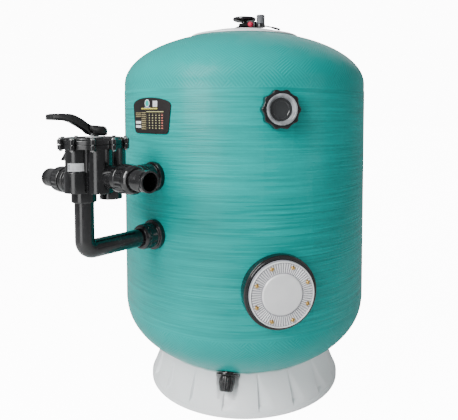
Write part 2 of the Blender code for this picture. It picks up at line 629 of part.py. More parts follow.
def rotor():
    profile = [(0.0, 0.8225), (0.0095, 0.8225), (0.0095, 0.7520), (0.0495, 0.7480),
               (0.0512, 0.7460), (0.0512, 0.7395), (0.0, 0.7395)]
    made = turned("rotor", profile, WHITE, SMALL_ROUND)
    made.location = (0, VALVE_Y, 0)
    eye = bar("shaft_eye_add", (0, VALVE_Y, 0.8333), (0.0110, 0.0124, 0.0264), cutter=True)
    boolean(made, eye, "UNION")
    slot = bar("pin_slot", (0, VALVE_Y, PIN_Z - 0.0015), (0.0400, 0.0066, 0.0094), cutter=True)
    boolean(made, slot)
    gasket = tube("spider_gasket", 0.0515, 0.0460, 0.7284, 0.7385, RUBBER)
    gasket.location = (0, VALVE_Y, 0)
    for index in range(3):
        angle = math.pi / 3 * index + math.pi / 6
        rib = bar(f"gasket_rib_add_{index}", (0, VALVE_Y, 0.73345 + 0.0001 * index),
                  (0.098, 0.0030, 0.0090), cutter=True)
        rib.rotation_euler = Euler((0, 0, angle))
        boolean(gasket, rib, "UNION")
    turns, wire, low, high = 4, 0.0016, 0.7545, 0.8075
    side_count = 8
    count = turns * side_count
    helix = []
    for i in range(count + 1):
        a = 2 * math.pi * i / side_count
        helix.append((0.0180 * math.cos(a), VALVE_Y + 0.0180 * math.sin(a),
                      low + (high - low) * i / count))
    piped("rotor_spring", helix, wire, STEEL, 1)


def handle():
    tube("handle_washer", 0.0215, 0.0108, COVER_TOP + GAP, 0.8278, WHITE).location = (0, VALVE_Y, 0)
    # side outline of the lever, as (distance from the pin towards the grip, height)
    cam_r = 0.0132
    cam = [(cam_r * math.cos(a), PIN_Z + cam_r * math.sin(a))
           for a in (math.radians(-150 + 30 * i) for i in range(6))]
    side = [(-0.0300, 0.8350)] + cam
    side += [(0.0180, 0.8420), (0.0340, 0.8500), (0.0500, 0.8590), (0.0660, 0.8680),
             (0.0800, 0.8720), (LEVER_REACH, 0.8722), (LEVER_REACH, 0.8850), (0.0700, 0.8864),
             (0.0520, 0.8800), (0.0340, 0.8700), (0.0170, 0.8590), (0.0080, 0.8540),
             (-0.0080, 0.8550), (-0.0240, 0.8500), (-0.0300, 0.8440)]
    lever = outline("handle", [(x, z) for x, z in side], 0.0330, BLACK)
    lever.location = (0, VALVE_Y, 0)
    lever.rotation_euler = Euler((math.pi / 2, 0, -math.pi / 2))
    slot = bar("handle_slot", (0, VALVE_Y, 0.8382), (0.0124, 0.0300, 0.0280), cutter=True)
    boolean(lever, slot)
    for side_x in (-1, 1):
        trim = bar(f"arm_trim_{side_x}", (side_x * 0.0205, VALVE_Y - 0.0650, 0.8700),
                   (0.0160, 0.0900, 0.0800), cutter=True)
        trim.rotation_euler = Euler((0, 0, side_x * 0.03))
        boolean(lever, trim)
    pin_hole = rod("pin_hole", 0.0034, -0.03, 0.03, steps=12, cutter=True)
    boolean(lever, place(pin_hole, (0, VALVE_Y, PIN_Z), (1, 0, 0)))
    place(rod("handle_pin", 0.0028, -0.0160, 0.0160, STEEL, 12), (0, VALVE_Y, PIN_Z), (1, 0, 0))


def side_ports():
    for name, z, side in (("pump", PUMP_Z, -1), ("return", RETURN_Z, 1)):
        way = (side, 0, 0)
        centre = (0, VALVE_Y, z)
        union_nut(name + "_union_nut", centre, way, 0.1268, 0.1700, 0.0360, 0.0300, 0.0268)
        tail = [(0.0260, PORT_END), (0.0260, 0.1632), (0.0292, 0.1632), (0.0292, 0.1448),
                (0.0190, 0.1448), (0.0190, 0.1600), (0.0215, 0.1620), (0.0215, PORT_END)]
        place(turned(name + "_tailpiece", tail, BLACK, SMALL_ROUND, closed=True), centre, way)


def build():
    tank_shell()
    neck_and_lid()
    base()
    name_plate()
    hatch()
    sight_glass()
    top_fitting()
    bulkhead("upper_bulkhead", UPPER_PORT_Z, 0.3725)
    bulkhead("lower_bulkhead", LOWER_PORT_Z, 0.3725)
    way = (0, -1, 0)
    union_nut("lower_union_nut", (0, 0, LOWER_PORT_Z), way, 0.4165, 0.4550, 0.0360, 0.0300, 0.0249)
    union_nut("upper_union_nut", (0, 0, UPPER_PORT_Z), way, 0.4165, 0.4580, 0.0380, 0.0300, 0.0270)
    elbow_pipe()
    diffuser()
    underdrain()
    drain()
    valve_body()
    wing_plug()
    valve_cover()
    rotor()
    handle()
    side_ports()
    for obj in PARTS.objects:
        smooth(obj)


build()
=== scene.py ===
"""A side-mount sand filter: wound tank, base, lid, hatch, sight glass, pipes and selector valve."""
import json
from math import asin, atan2, cos, hypot, pi, radians, sin, sqrt, tau

import bmesh
import bpy
from mathutils import Matrix, Vector


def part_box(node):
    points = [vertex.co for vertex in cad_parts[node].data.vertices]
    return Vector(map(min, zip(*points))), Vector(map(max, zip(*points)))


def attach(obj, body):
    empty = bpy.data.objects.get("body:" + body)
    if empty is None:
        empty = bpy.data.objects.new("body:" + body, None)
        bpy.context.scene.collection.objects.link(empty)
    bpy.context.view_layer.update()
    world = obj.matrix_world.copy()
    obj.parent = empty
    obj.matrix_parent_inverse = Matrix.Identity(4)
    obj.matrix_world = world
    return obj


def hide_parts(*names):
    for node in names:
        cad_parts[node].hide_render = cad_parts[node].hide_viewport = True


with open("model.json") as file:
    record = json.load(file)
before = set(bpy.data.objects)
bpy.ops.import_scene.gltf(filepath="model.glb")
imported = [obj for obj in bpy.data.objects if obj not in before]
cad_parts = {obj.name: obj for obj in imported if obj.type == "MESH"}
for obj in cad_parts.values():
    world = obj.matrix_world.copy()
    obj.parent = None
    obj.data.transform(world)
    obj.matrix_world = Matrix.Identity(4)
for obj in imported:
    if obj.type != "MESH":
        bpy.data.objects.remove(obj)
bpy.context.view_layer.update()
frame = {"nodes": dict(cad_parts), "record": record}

# ---- studio ----
# A pale floor that runs into a white surround, and a camera at the height of the tank's
# shoulder.  The key light is large, soft and high on the left, with a tall strip below it; a
# weak fill stands on the right, and a low light behind.
WHITE_GLOW = 12                                 # how white the surround looks to the camera


class Wire:
    """A socket in a material; sums written on wires add their Math nodes."""

    def __init__(self, tree, socket=None):
        self.tree = tree
        self.socket = socket

    def node(self, kind, settings=None, inputs=None, output=0):
        """Any node: its settings first, then a value or a wire for each socket."""
        made = self.tree.nodes.new("ShaderNode" + kind)
        for name, value in (settings or {}).items():
            setattr(made, name, value)
        for key, value in (inputs or {}).items():
            if isinstance(value, Wire):
                self.tree.links.new(value.socket, made.inputs[key])
            else:
                made.inputs[key].default_value = value
        return Wire(self.tree, made.outputs[output])

    def maths(self, operation, first, second=0):
        return self.node("Math", {"operation": operation}, {0: first, 1: second})

    def __add__(self, other):
        return self.maths("ADD", self, other)

    def __sub__(self, other):
        return self.maths("SUBTRACT", self, other)

    def __rsub__(self, other):
        return self.maths("SUBTRACT", other, self)

    def __mul__(self, other):
        return self.maths("MULTIPLY", self, other)

    def __truediv__(self, other):
        return self.maths("DIVIDE", self, other)

    def __gt__(self, other):
        return self.maths("GREATER_THAN", self, other)

    def __lt__(self, other):
        return self.maths("LESS_THAN", self, other)

    __radd__ = __add__
    __rmul__ = __mul__


def shade(factor, first, second):
    """A colour between two colours, each a wire or (r, g, b)."""
    ends = [end if isinstance(end, Wire) else (*end, 1) for end in (first, second)]
    return factor.node("Mix", {"data_type": "RGBA"}, {0: factor, 6: ends[0], 7: ends[1]}, 2)


def finish(name, metallic=0, **fixed):
    """A Principled material with its even values, and the piece's own place, x, y and z in it."""
    made = bpy.data.materials.new(name)
    made.use_nodes = True
    shader = made.node_tree.nodes["Principled BSDF"]
    shader.inputs["Metallic"].default_value = metallic
    for socket, value in fixed.items():
        shader.inputs[socket.replace("_", " ")].default_value = value
    place = Wire(made.node_tree).node("TexCoord", output="Object")
    return made, place, *(place.node("SeparateXYZ", None, {0: place}, axis) for axis in "XYZ")


def add(name, data):
    """A new object in the scene."""
    made = bpy.data.objects.new(name, data)
    bpy.context.scene.collection.objects.link(made)
    return made


floor_mesh = bpy.data.meshes.new("floor")
floor_work = bmesh.new()
bmesh.ops.create_grid(floor_work, x_segments=1, y_segments=1, size=30)
floor_work.to_mesh(floor_mesh)
floor_work.free()
floor = add("floor", floor_mesh)
floor_paint, place, *_ = finish("pale_floor", Base_Color=(0.9, 0.9, 0.9, 1), Roughness=0.7,
                                Emission_Color=(1, 1, 1, 1))
glow = place.node("LightPath", output="Is Camera Ray") * WHITE_GLOW
place.tree.links.new(glow.socket, place.tree.nodes["Principled BSDF"].inputs["Emission Strength"])
floor_mesh.materials.append(floor_paint)
floor.location.z = -0.0005

world = bpy.data.worlds.new("surround")
bpy.context.scene.world = world
world.use_nodes = True
seen = Wire(world.node_tree).node("LightPath", output="Is Camera Ray")
sky = shade(seen, (0.33, 0.335, 0.34), (WHITE_GLOW, WHITE_GLOW, WHITE_GLOW))
world.node_tree.links.new(sky.socket, world.node_tree.nodes["Background"].inputs["Color"])


def level(angle):
    """The level direction at an angle."""
    return Vector((cos(angle), sin(angle), 0))


EYE_TURN = radians(-50)                         # the camera's direction from the tank's axis
LOOK = -level(EYE_TURN)
ACROSS = Vector((LOOK.y, -LOOK.x, 0))
EYE_HEIGHT, EYE_REACH, EYE_TILT = 0.888, 1.752, radians(3.12)
camera = add("camera", bpy.data.cameras.new("camera"))
bpy.context.scene.camera = camera
camera.location = -LOOK * EYE_REACH + Vector((0, 0, EYE_HEIGHT))
aim = LOOK * cos(EYE_TILT) - Vector((0, 0, sin(EYE_TILT)))
camera.rotation_euler = aim.to_track_quat("-Z", "Y").to_euler()
camera.data.lens = 40.09
camera.data.sensor_width = 36
camera.data.shift_x = -0.0336
camera.data.shift_y = -0.1517
camera.data.clip_start = 0.01

# each light's distance to the right of the tank and behind it, its height, size, power and aim
for name, right, back, height, size, power, target in (
        ("key", -1.45, -1.7, 2.1, (1, 1.7), 92, (0, 0, 0.75)),
        ("strip", -1.1, -2, 0.85, (0.8, 1.6), 13, (0, -0.2, 0.7)),
        ("fill", 2.2, -1.2, 1.2, (0.7, 1.4), 6, (0, 0, 0.5)),
        ("back", 0.8, 1.8, 2.3, (1.6, 1.6), 6, (0, 0, 0.8))):
    light = add(name, bpy.data.lights.new(name, "AREA"))
    light.data.shape = "RECTANGLE"
    light.data.size, light.data.size_y = size
    light.data.energy = power
    light.location = ACROSS * right + LOOK * back + Vector((0, 0, height))
    light.rotation_euler = (Vector(target) - light.location).to_track_quat("-Z", "Y").to_euler()

# ---- wound tank ----
# Glass rovings are wound over a liner: crossed helical layers go over both ends, and close
# hoops cover the straight part.  A teal gel coat soaks them, so every strand still shows.
TANK_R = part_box("tank_shell")[1].x
TANK_WALL = 0.006
STRAIGHT_LOW, STRAIGHT_HIGH = 0.283, 0.979
LOWER_RISE, UPPER_RISE = 0.233, 0.178
HOOP_LOW, HOOP_HIGH = 0.262, 0.957               # where the hoop layer stops
HOOP_BUILD = 0.001                               # its thickness over the helical layer
NECK_R = 0.152
HATCH_ANGLE = radians(-36.5)
HATCH_WAY = level(HATCH_ANGLE)
DRAIN_ANGLE = radians(-60)
DRAIN_REACH = 0.285
body_of = {node: body for body, nodes in frame["record"]["behaviour"]["bodies"].items() for node in nodes}


def middle(node):
    """The centre of a node's box."""
    return [(low + high) / 2 for low, high in zip(*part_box(node))]


HATCH_Z = middle("hatch_flange")[2]
SIGHT_Z = middle("sight_nut")[2]
UPPER_PORT_Z = middle("upper_bulkhead")[2]
LOWER_PORT_Z = middle("lower_bulkhead")[2]


def noise(place, scale, detail=2, stretch=(1, 1, 1)):
    """Noise, drawn out along the axes whose stretch is small."""
    drawn = place.node("VectorMath", {"operation": "MULTIPLY"}, {0: place, 1: stretch})
    return place.node("TexNoise", None, {"Vector": drawn, "Scale": scale, "Detail": detail})


def ease(value, low, high):
    """0 below low, 1 above high, and a smooth step between them."""
    return value.node("MapRange", {"interpolation_type": "SMOOTHSTEP"},
                      {"Value": value, "From Min": low, "From Max": high})


def coat(made, colour, roughness, height=None, depth=0.0001, strength=0.6):
    """Feed a material its colour, roughness and raised grain."""
    shader = made.node_tree.nodes["Principled BSDF"]
    links = made.node_tree.links
    links.new(colour.socket, shader.inputs["Base Color"])
    links.new(roughness.socket, shader.inputs["Roughness"])
    if height is not None:
        raised = height.node("Bump", None, {"Strength": strength, "Distance": depth, "Height": height})
        links.new(raised.socket, shader.inputs["Normal"])
    return made


def gel_coat():
    """Hoops on the straight part and crossed strands on the ends, under a glossy coat, with painted
    highlight streaks.
    """
    made, place, x, y, z = finish("teal_gel_coat", Coat_Weight=0.05, Coat_Roughness=0.15,
                                  Specular_IOR_Level=0.12)
    turn = place.maths("ARCTAN2", y, x)
    reach = place.maths("SQRT", x * x + y * y)
    waist, half = (STRAIGHT_HIGH + STRAIGHT_LOW) / 2, (STRAIGHT_HIGH - STRAIGHT_LOW) / 2
    along = (TANK_R - reach) + (place.maths("ABSOLUTE", z - waist) - half)
    strands, lean, diamonds, spread = 230, 500, 16, 34
    right = place.maths("SINE", turn * strands + along * lean + noise(place, 9) * 5)
    left = place.maths("SINE", turn * strands - along * lean + noise(place, 7) * 5)
    weave = place.maths("SINE", turn * diamonds + along * spread)
    weave = weave * place.maths("SINE", turn * diamonds - along * spread)
    crossed = left + (right - left) * ease(weave, -0.12, 0.12)
    crossed = crossed * (0.35 + ease(noise(place, 6, 3), 0.35, 0.65) * 0.65)
    bands = noise(place, 1, 3, (2.6, 2.6, 150))
    fine = noise(place, 1, 2, (7, 7, 380))
    hoops = (bands - 0.5) * 2.6 + (fine - 0.5) * 2.4
    straight = ease(z, HOOP_LOW - 0.002, HOOP_LOW + 0.002)
    straight = straight * (1 - ease(z, HOOP_HIGH - 0.002, HOOP_HIGH + 0.002))
    relief = crossed * 0.55 + (hoops - crossed * 0.55) * straight
    cloud = noise(place, 3, 3)
    colour = shade(ease(relief, -1, 1.2), (0, 0.215, 0.196), (0, 0.4, 0.372))
    colour = shade(ease(cloud, 0.35, 0.75) * 0.35, colour, (0, 0.43, 0.4))
    # Painted highlight: whitish streaks on the raised strands stand in for the key light's reflection in the
    # gel coat.
    painted_glint = ease(relief, 0.85, 1.45) * ease(noise(place, 4, 2, (1, 1, 2)), 0.47, 0.66)
    colour = shade(painted_glint * 0.42, colour, (0.22, 0.68, 0.64))
    rough = 0.26 + ease(relief, -1, 1.5) * 0.12 + cloud * 0.08
    return coat(made, colour, rough, relief, 0.0009, 0.55)


def rounded(corners, steps=4):
    """An outline whose inner corners (r, z, cut) are rounded over the length of their cut."""
    points = []
    for index, corner in enumerate(corners):
        spot = Vector(corner[:2])
        if len(corner) < 3:
            points.append(tuple(spot))
            continue
        ends = []
        for other in (corners[index - 1], corners[(index + 1) % len(corners)]):
            ends.append(spot + (Vector(other[:2]) - spot).normalized() * corner[2])
        for i in range(steps + 1):
            t = i / steps
            arc = ends[0] * (1 - t) ** 2 + spot * 2 * t * (1 - t) + ends[1] * t ** 2
            points.append(tuple(arc))
    return points


def outward(work):
    """Turn every face outward."""
    bmesh.ops.recalc_face_normals(work, faces=work.faces)
    return work


def turned(corners, steps=64, sheet=False):
    """An outline of (radius, height) or (radius, height, cut) spun round Z.

    One that stays off the axis is closed into a ring, unless it is a sheet.
    """
    work = bmesh.new()
    outline = rounded(corners)
    points = [work.verts.new((r, 0, z)) for r, z in outline]
    for pair in zip(points, points[1:]):
        work.edges.new(pair)
    if not sheet and min(r for r, z in outline) > 1e-6:
        work.edges.new((points[-1], points[0]))
    bmesh.ops.spin(work, geom=work.verts[:] + work.edges[:], cent=(0, 0, 0), axis=(0, 0, 1),
                   angle=tau, steps=steps, use_merge=True)
    bmesh.ops.remove_doubles(work, verts=work.verts, dist=0.00001)
    return outward(work)


def facing(way):
    """The turn that lays +Z along a direction, and keeps +Y upright where it isn't level."""
    if Vector(way).z > 0.999:
        return Matrix.Identity(4)
    return Vector(way).to_track_quat("Z", "Y").to_matrix().to_4x4()


def stood(work, origin, way=(0, 0, 1)):
    """Lay a form's own +Z along a direction, with its origin at a point."""
    bmesh.ops.transform(work, matrix=Matrix.Translation(origin) @ facing(way), verts=work.verts)
    return work


def mesh_object(name, forms, sharp=35):
    """One object from one or more forms, smooth apart from its sharp edges."""
    mesh = bpy.data.meshes.new(name)
    whole = bmesh.new()
    for form in forms:
        form.to_mesh(mesh)
        form.free()
        whole.from_mesh(mesh)
    whole.to_mesh(mesh)
    whole.free()
    mesh.shade_smooth()
    mesh.set_sharp_from_angle(angle=radians(sharp))
    return add(name, mesh)


def cut(target, *forms):
    """Cut forms out of an object, and keep the result as its mesh."""
    tools = [mesh_object("cutter", [form]) for form in forms]
    for tool in tools:
        change = target.modifiers.new("cut", "BOOLEAN")
        change.operation = "DIFFERENCE"
        change.object = tool
    bpy.context.view_layer.update()
    ready = target.evaluated_get(bpy.context.evaluated_depsgraph_get())
    mesh = bpy.data.meshes.new_from_object(ready)
    target.modifiers.clear()
    target.data = mesh
    for tool in tools:
        bpy.data.objects.remove(tool, do_unlink=True)
    mesh.shade_smooth()
    mesh.set_sharp_from_angle(angle=radians(35))


def settle(made, paint, node, replaces=True):
    """Give a piece its finish and the body of the node that it stands for, and hide that node if the piece
    replaces it.
    """
    made.data.materials.clear()
    made.data.materials.append(paint)
    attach(made, body_of[node])
    if replaces:
        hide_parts(node)


def piece(name, forms, paint, node, replaces=True, sharp=35):
    """One settled object of one or more forms."""
    settle(mesh_object(name, forms, sharp), paint, node, replaces)


def end_arc(start_r, rise, base_z, inset, rows=28):
    """Half an elliptical end, from a radius out to the straight part."""
    half, height = TANK_R - inset, rise - inset * (1 if rise > 0 else -1)
    first = asin(start_r / half)
    turns = [first + (pi / 2 - first) * i / rows for i in range(rows + 1)]
    return [(half * sin(a), base_z + height * cos(a)) for a in turns]


def dome_z(r):
    """Height of the lower end's outside at a radius."""
    return STRAIGHT_LOW - LOWER_RISE * sqrt(1 - (r / TANK_R) ** 2)


teal = gel_coat()
outer = end_arc(NECK_R, UPPER_RISE, STRAIGHT_HIGH, HOOP_BUILD)
outer += [(TANK_R - HOOP_BUILD, HOOP_HIGH + 0.0012), (TANK_R, HOOP_HIGH - 0.0012)]
outer += [(TANK_R, HOOP_LOW + 0.0212), (TANK_R - HOOP_BUILD, HOOP_LOW + 0.0188)]
outer += end_arc(0, -LOWER_RISE, STRAIGHT_LOW, HOOP_BUILD)[::-1][1:]
inner = end_arc(NECK_R, UPPER_RISE, STRAIGHT_HIGH, TANK_WALL)
inner += end_arc(0, -LOWER_RISE, STRAIGHT_LOW, TANK_WALL)[::-1]
outer[-1], inner[-1] = (0, outer[-1][1]), (0, inner[-1][1])
tank = mesh_object("wound_tank", [turned(inner[::-1] + outer, 192)])
drain_root = Vector((DRAIN_REACH * cos(DRAIN_ANGLE), DRAIN_REACH * sin(DRAIN_ANGLE), dome_z(DRAIN_REACH)))
drain_fall = (drain_root.z - STRAIGHT_LOW) / LOWER_RISE ** 2
drain_way = Vector((drain_root.x / TANK_R ** 2, drain_root.y / TANK_R ** 2, drain_fall)).normalized()


def drill(radius, origin, way, low=0.3, high=0.5):
    """A round cutter along a direction."""
    return stood(turned([(0, high), (radius, high), (radius, low), (0, low)]), origin, way)


cut(tank, drill(0.1029, (0, 0, HATCH_Z), HATCH_WAY), drill(0.0428, (0, 0, SIGHT_Z), HATCH_WAY),
    drill(0.0305, (0, 0, UPPER_PORT_Z), (0, -1, 0)), drill(0.0305, (0, 0, LOWER_PORT_Z), (0, -1, 0)),
    drill(0.0165, drain_root, drain_way, -0.05, 0.05))
settle(tank, teal, "tank_shell")

# ---- skirt base ----
# One white moulding: a flared skirt with slanting flutes and a pocket round the drain, four
# webs and a hub under the tank, and a bead of sealant where the tank sits in it.
BASE_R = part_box("base_ring")[1].x
BASE_WALL, POCKET_R = 0.004, 0.0365
FLUTES, FLUTE_LOW, FLUTE_HIGH, FLUTE_DEPTH = 18, 0.02, 0.11, 0.0125


def moulded(name, colour, mark, rough, **fixed):
    """Moulded plastic: faint flow marks, duller patches and a fine grain."""
    made, place, *_ = finish(name, **fixed)
    flow = noise(place, 14, 4, (1, 1, 0.4))
    smear = noise(place, 55, 3)
    grain = noise(place, 900, 1)
    mixed = shade(ease(flow, 0.35, 0.7), colour, mark)
    dull = rough + ease(smear, 0.4, 0.72) * 0.14 + (flow - 0.5) * 0.12
    return coat(made, mixed, dull, grain * 0.5 + flow, 0.00025, 0.35)


def reshape(work, rule):
    """Move every point by a rule on its own (radius, turn, height)."""
    for vert in work.verts:
        r, turn = hypot(vert.co.x, vert.co.y), atan2(vert.co.y, vert.co.x)
        r, turn, z = rule(r, turn, vert.co.z)
        vert.co = (r * cos(turn), r * sin(turn), z)
    return work


def fluted(r, turn, z):
    """Step in at each flute's left edge and slant back out to its right."""
    share = (z - FLUTE_LOW) / (FLUTE_HIGH - FLUTE_LOW)
    if not 0 < share < 1:
        return r, turn, z
    step = (turn / tau * FLUTES + 0.1) % 1
    width = 0.46 * (1 - share)
    low_fade = min(1, share / 0.06)
    if step < width:
        r -= FLUTE_DEPTH * (1 - step / width) * low_fade * (1 - share) ** 0.5
    return r, turn, z


def pocketed(work):
    """Push the skirt in where the drain stands, leaving a half-round pocket."""
    for vert in work.verts:
        inward = Vector((-vert.co.x, -vert.co.y, 0)).normalized()
        flat_way = drain_way.cross(inward).cross(drain_way).normalized()
        offset = vert.co - drain_root
        offset -= drain_way * offset.dot(drain_way)
        side = (offset - flat_way * offset.dot(flat_way)).length
        if side < POCKET_R and vert.co.dot(level(DRAIN_ANGLE)) > 0:
            depth = (vert.co - drain_root).dot(drain_way)
            fade = min(1, max(0, (0.088 - depth) / 0.022))
            wanted = sqrt(POCKET_R ** 2 - side ** 2) * fade
            push = wanted - offset.dot(flat_way)
            if push > 0 and fade > 0:
                vert.co += inward * push
                vert.co.z = min(vert.co.z, dome_z(hypot(vert.co.x, vert.co.y)) - 0.0005)


white = moulded("white_plastic", (0.93, 0.94, 0.95), (0.89, 0.9, 0.915), 0.34, Coat_Weight=0.15)
top_z = dome_z(0.28) - 0.0008
skirt_line = [
    (0.28, top_z), (0.2812, 0.1135), (0.283, 0.103), (0.286, 0.092), (0.2898, 0.08), (0.294, 0.068),
    (0.2984, 0.057), (0.303, 0.046), (0.3068, 0.0365), (0.31, 0.028), (0.3124, 0.022), (0.3135, 0.0165),
    (0.3145, 0.014), (0.3165, 0.013), (BASE_R - 0.0006, 0.012), (BASE_R, 0.0104), (BASE_R, 0)]
skirt = reshape(turned(skirt_line, 576, sheet=True), fluted)
pocketed(skirt)
bmesh.ops.solidify(skirt, geom=skirt.faces[:], thickness=BASE_WALL)
piece("base_skirt", [outward(skirt)], white, "base_ring", sharp=28)


def spun(work, angle):
    """Turn a form about Z."""
    bmesh.ops.rotate(work, cent=(0, 0, 0), matrix=Matrix.Rotation(angle, 3, "Z"), verts=work.verts)
    return work


hub = turned([(0, 0), (0.045, 0, 0.002), (0.04, 0.046, 0.002), (0, 0.046)])
webs = []
for index in range(4):
    web = bmesh.new()
    bmesh.ops.create_cube(web, size=1)
    bmesh.ops.scale(web, vec=(0.241, 0.006, 0.046), verts=web.verts)
    bmesh.ops.subdivide_edges(web, edges=[e for e in web.edges if e.calc_length() > 0.1], cuts=12)
    for vert in web.verts:
        vert.co.x += 0.1605
        vert.co.z = 0.0005 if vert.co.z < 0 else min(0.125, dome_z(vert.co.x) - 0.001)
    webs.append(spun(web, pi / 4 + index * pi / 2))
piece("base_webs", [hub] + webs, white, "base_ring", False)

BEAD_R, BEAD_SIZE, BEAD_RISE = 0.2815, 0.0026, 0.0016
bead = turned([(BEAD_R + BEAD_SIZE * cos(a), top_z + BEAD_RISE + BEAD_SIZE * sin(a))
               for a in (-tau * i / 10 for i in range(10))], 288)
for vert in bead.verts:
    spin = atan2(vert.co.y, vert.co.x)
    vert.co.z += 0.0007 * sin(spin * 17) + 0.0005 * sin(spin * 41 + 1)
sealant = moulded("pale_sealant", (0.62, 0.74, 0.73), (0.42, 0.66, 0.64), 0.45)
piece("base_bead", [bead], sealant, "base_ring", False)

# ---- neck and lid ----
# A moulded collar is wound into the tank's top.  The lid screws into it on a rubber ring
# and is domed, with a raised rim to grip and a flat land for the fitting on it.
RIM_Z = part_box("neck_ring")[1].z
LID_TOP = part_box("tank_lid")[1].z


def upper_z(r):
    """Height of the upper end's outside at a radius."""
    return STRAIGHT_HIGH + UPPER_RISE * sqrt(1 - (r / TANK_R) ** 2)


collar = [
    (0.151, RIM_Z), (0.1775, RIM_Z, 0.001), (0.183, RIM_Z - 0.0035, 0.001),
    (0.1832, upper_z(0.1832) + 0.0003), (0.168, upper_z(0.168) + 0.0003), (NECK_R, upper_z(NECK_R) + 0.0003),
    (0.1513, upper_z(NECK_R)), (0.1513, 1.128), (0.1425, 1.128), (0.1425, RIM_Z), (0.146, RIM_Z),
    (0.146, 1.1408), (0.151, 1.1408)]
piece("neck_collar", [turned(collar, 160)], white, "neck_ring")
lid_rim = RIM_Z + 0.0004
lid = [
    (0, LID_TOP), (0.049, LID_TOP), (0.0505, LID_TOP - 0.0012), (0.09, 1.16), (0.118, 1.1564),
    (0.119, 1.1572, 0.0005), (0.123, 1.1566, 0.0005), (0.124, 1.1556), (0.15, 1.1502, 0.003),
    (0.156, 1.1475, 0.0015), (0.156, lid_rim, 0.0006), (0.1412, lid_rim), (0.1405, 1.128, 0.001),
    (0.134, 1.128, 0.001), (0.134, 1.1405), (0.1, 1.15), (0, 1.156)]
piece("lid", [turned(lid, 160)], white, "tank_lid")

# ---- black fittings: foot, gauge, relief knob, plug and vent tube ----
# Glass-filled black plastic, glossy from the mould.  The foot is screwed through the lid and
# carries a gauge on a steel stem, a red test plug and a knurled air-relief knob with its tube.
black = moulded("black_plastic", (0.005, 0.005, 0.0055), (0.011, 0.011, 0.012), 0.15, Coat_Weight=0.25,
                Coat_Roughness=0.08)
RELIEF_X = middle("relief_knob")[0]
SEAT_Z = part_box("top_fitting")[0].z
GAUGE_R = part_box("gauge_case")[1].x
GAUGE_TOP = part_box("gauge_case")[1].z


def block(size, centre, soften=0.0015, steps=3):
    """A box with softened edges."""
    work = bmesh.new()
    bmesh.ops.create_cube(work, size=1)
    bmesh.ops.scale(work, vec=size, verts=work.verts)
    bmesh.ops.bevel(work, geom=work.edges[:], offset=soften, segments=steps, profile=0.5,
                    affect="EDGES", material=-1)
    return stood(work, centre)


def knurled(work, count, depth, low, high, inner_r):
    """Press shallow grooves into the outside of a turned form between two heights."""
    def rule(r, turn, z):
        if low <= z <= high and r > inner_r:
            r -= depth * (0.5 - 0.5 * cos(turn * count)) ** 2
        return r, turn, z
    return reshape(work, rule)


foot = turned([
    (0, 1.179), (0.027, 1.179, 0.001), (0.03, 1.177), (0.035, 1.1745, 0.002), (0.047, 1.1668, 0.001),
    (0.047, SEAT_Z), (0, SEAT_Z)], 80)
tee_end = RELIEF_X - 0.0148
tee = block((tee_end + 0.016, 0.027, 0.02), ((tee_end - 0.016) / 2, 0, 1.1805), 0.003)
seat = turned([(0, 1.18), (0.015, 1.18, 0.0008), (0.015, 1.1697, 0.0008), (0, 1.1697)], 48)
piece("fitting_foot", [foot, tee, stood(seat, (RELIEF_X, 0, 0))], black, "top_fitting")

case = turned([
    (0, 1.203), (GAUGE_R - 0.0036, 1.203), (GAUGE_R - 0.0036, GAUGE_TOP),
    (GAUGE_R - 0.0018, GAUGE_TOP, 0.0008), (GAUGE_R, GAUGE_TOP - 0.002, 0.0008), (GAUGE_R, 1.2012, 0.0015),
    (0.033, 1.1975, 0.002), (0.012, 1.1955), (0.0085, 1.1955), (0.0085, 1.1909), (0, 1.1909)], 96)
piece("gauge_housing", [case], black, "gauge_case")


def dial_face():
    """A white face with a ring of plain ticks."""
    made, place, x, y, _ = finish("gauge_dial")
    reach = place.maths("SQRT", x * x + y * y)
    tick = place.maths("COSINE", place.maths("ARCTAN2", y, x) * 32) > 0.86
    ring = (reach > 0.0255) * (reach < 0.03)
    open_part = 1 - (y < -0.012) * (place.maths("ABSOLUTE", x) < 0.024)
    ink = tick * ring * open_part
    paper = shade(noise(place, 300), (0.8, 0.8, 0.78), (0.7, 0.7, 0.68))
    return coat(made, shade(ink, paper, (0.02, 0.02, 0.02)), 0.45 + noise(place, 90) * 0.1)


face = turned([(0, 1.2034), (GAUGE_R - 0.004, 1.2034), (GAUGE_R - 0.004, 1.2031), (0, 1.2031)])
piece("gauge_dial", [face], dial_face(), "gauge_case", False)

grey = moulded("grey_plastic", (0.085, 0.09, 0.098), (0.125, 0.13, 0.14), 0.42)
knob = turned([
    (0, 1.2107), (0.0116, 1.2107, 0.001), (0.0138, 1.209, 0.001), (0.0138, 1.2), (0.0138, 1.186),
    (0.014, 1.1812, 0.0004), (0, 1.1812)], 160)
knob = knurled(knob, 20, 0.0011, 1.187, 1.2095, 0.012)
piece("relief_grip", [stood(knob, (RELIEF_X, 0, 0))], grey, "relief_knob")

red = moulded("red_plastic", (0.6, 0.008, 0.06), (0.48, 0.006, 0.045), 0.26, Coat_Weight=0.4)
plug_x, _, plug_z = middle("test_plug")
plug = turned([
    (0, 0.025), (0.005, 0.025, 0.001), (0.0082, 0.0215, 0.001), (0.0085, 0.0139, 0.0004), (0.0046, 0.0139),
    (0.0046, 0.0085), (0, 0.0085)])
piece("red_plug", [stood(plug, (plug_x, 0, plug_z), (0, -1, 0))], red, "test_plug")


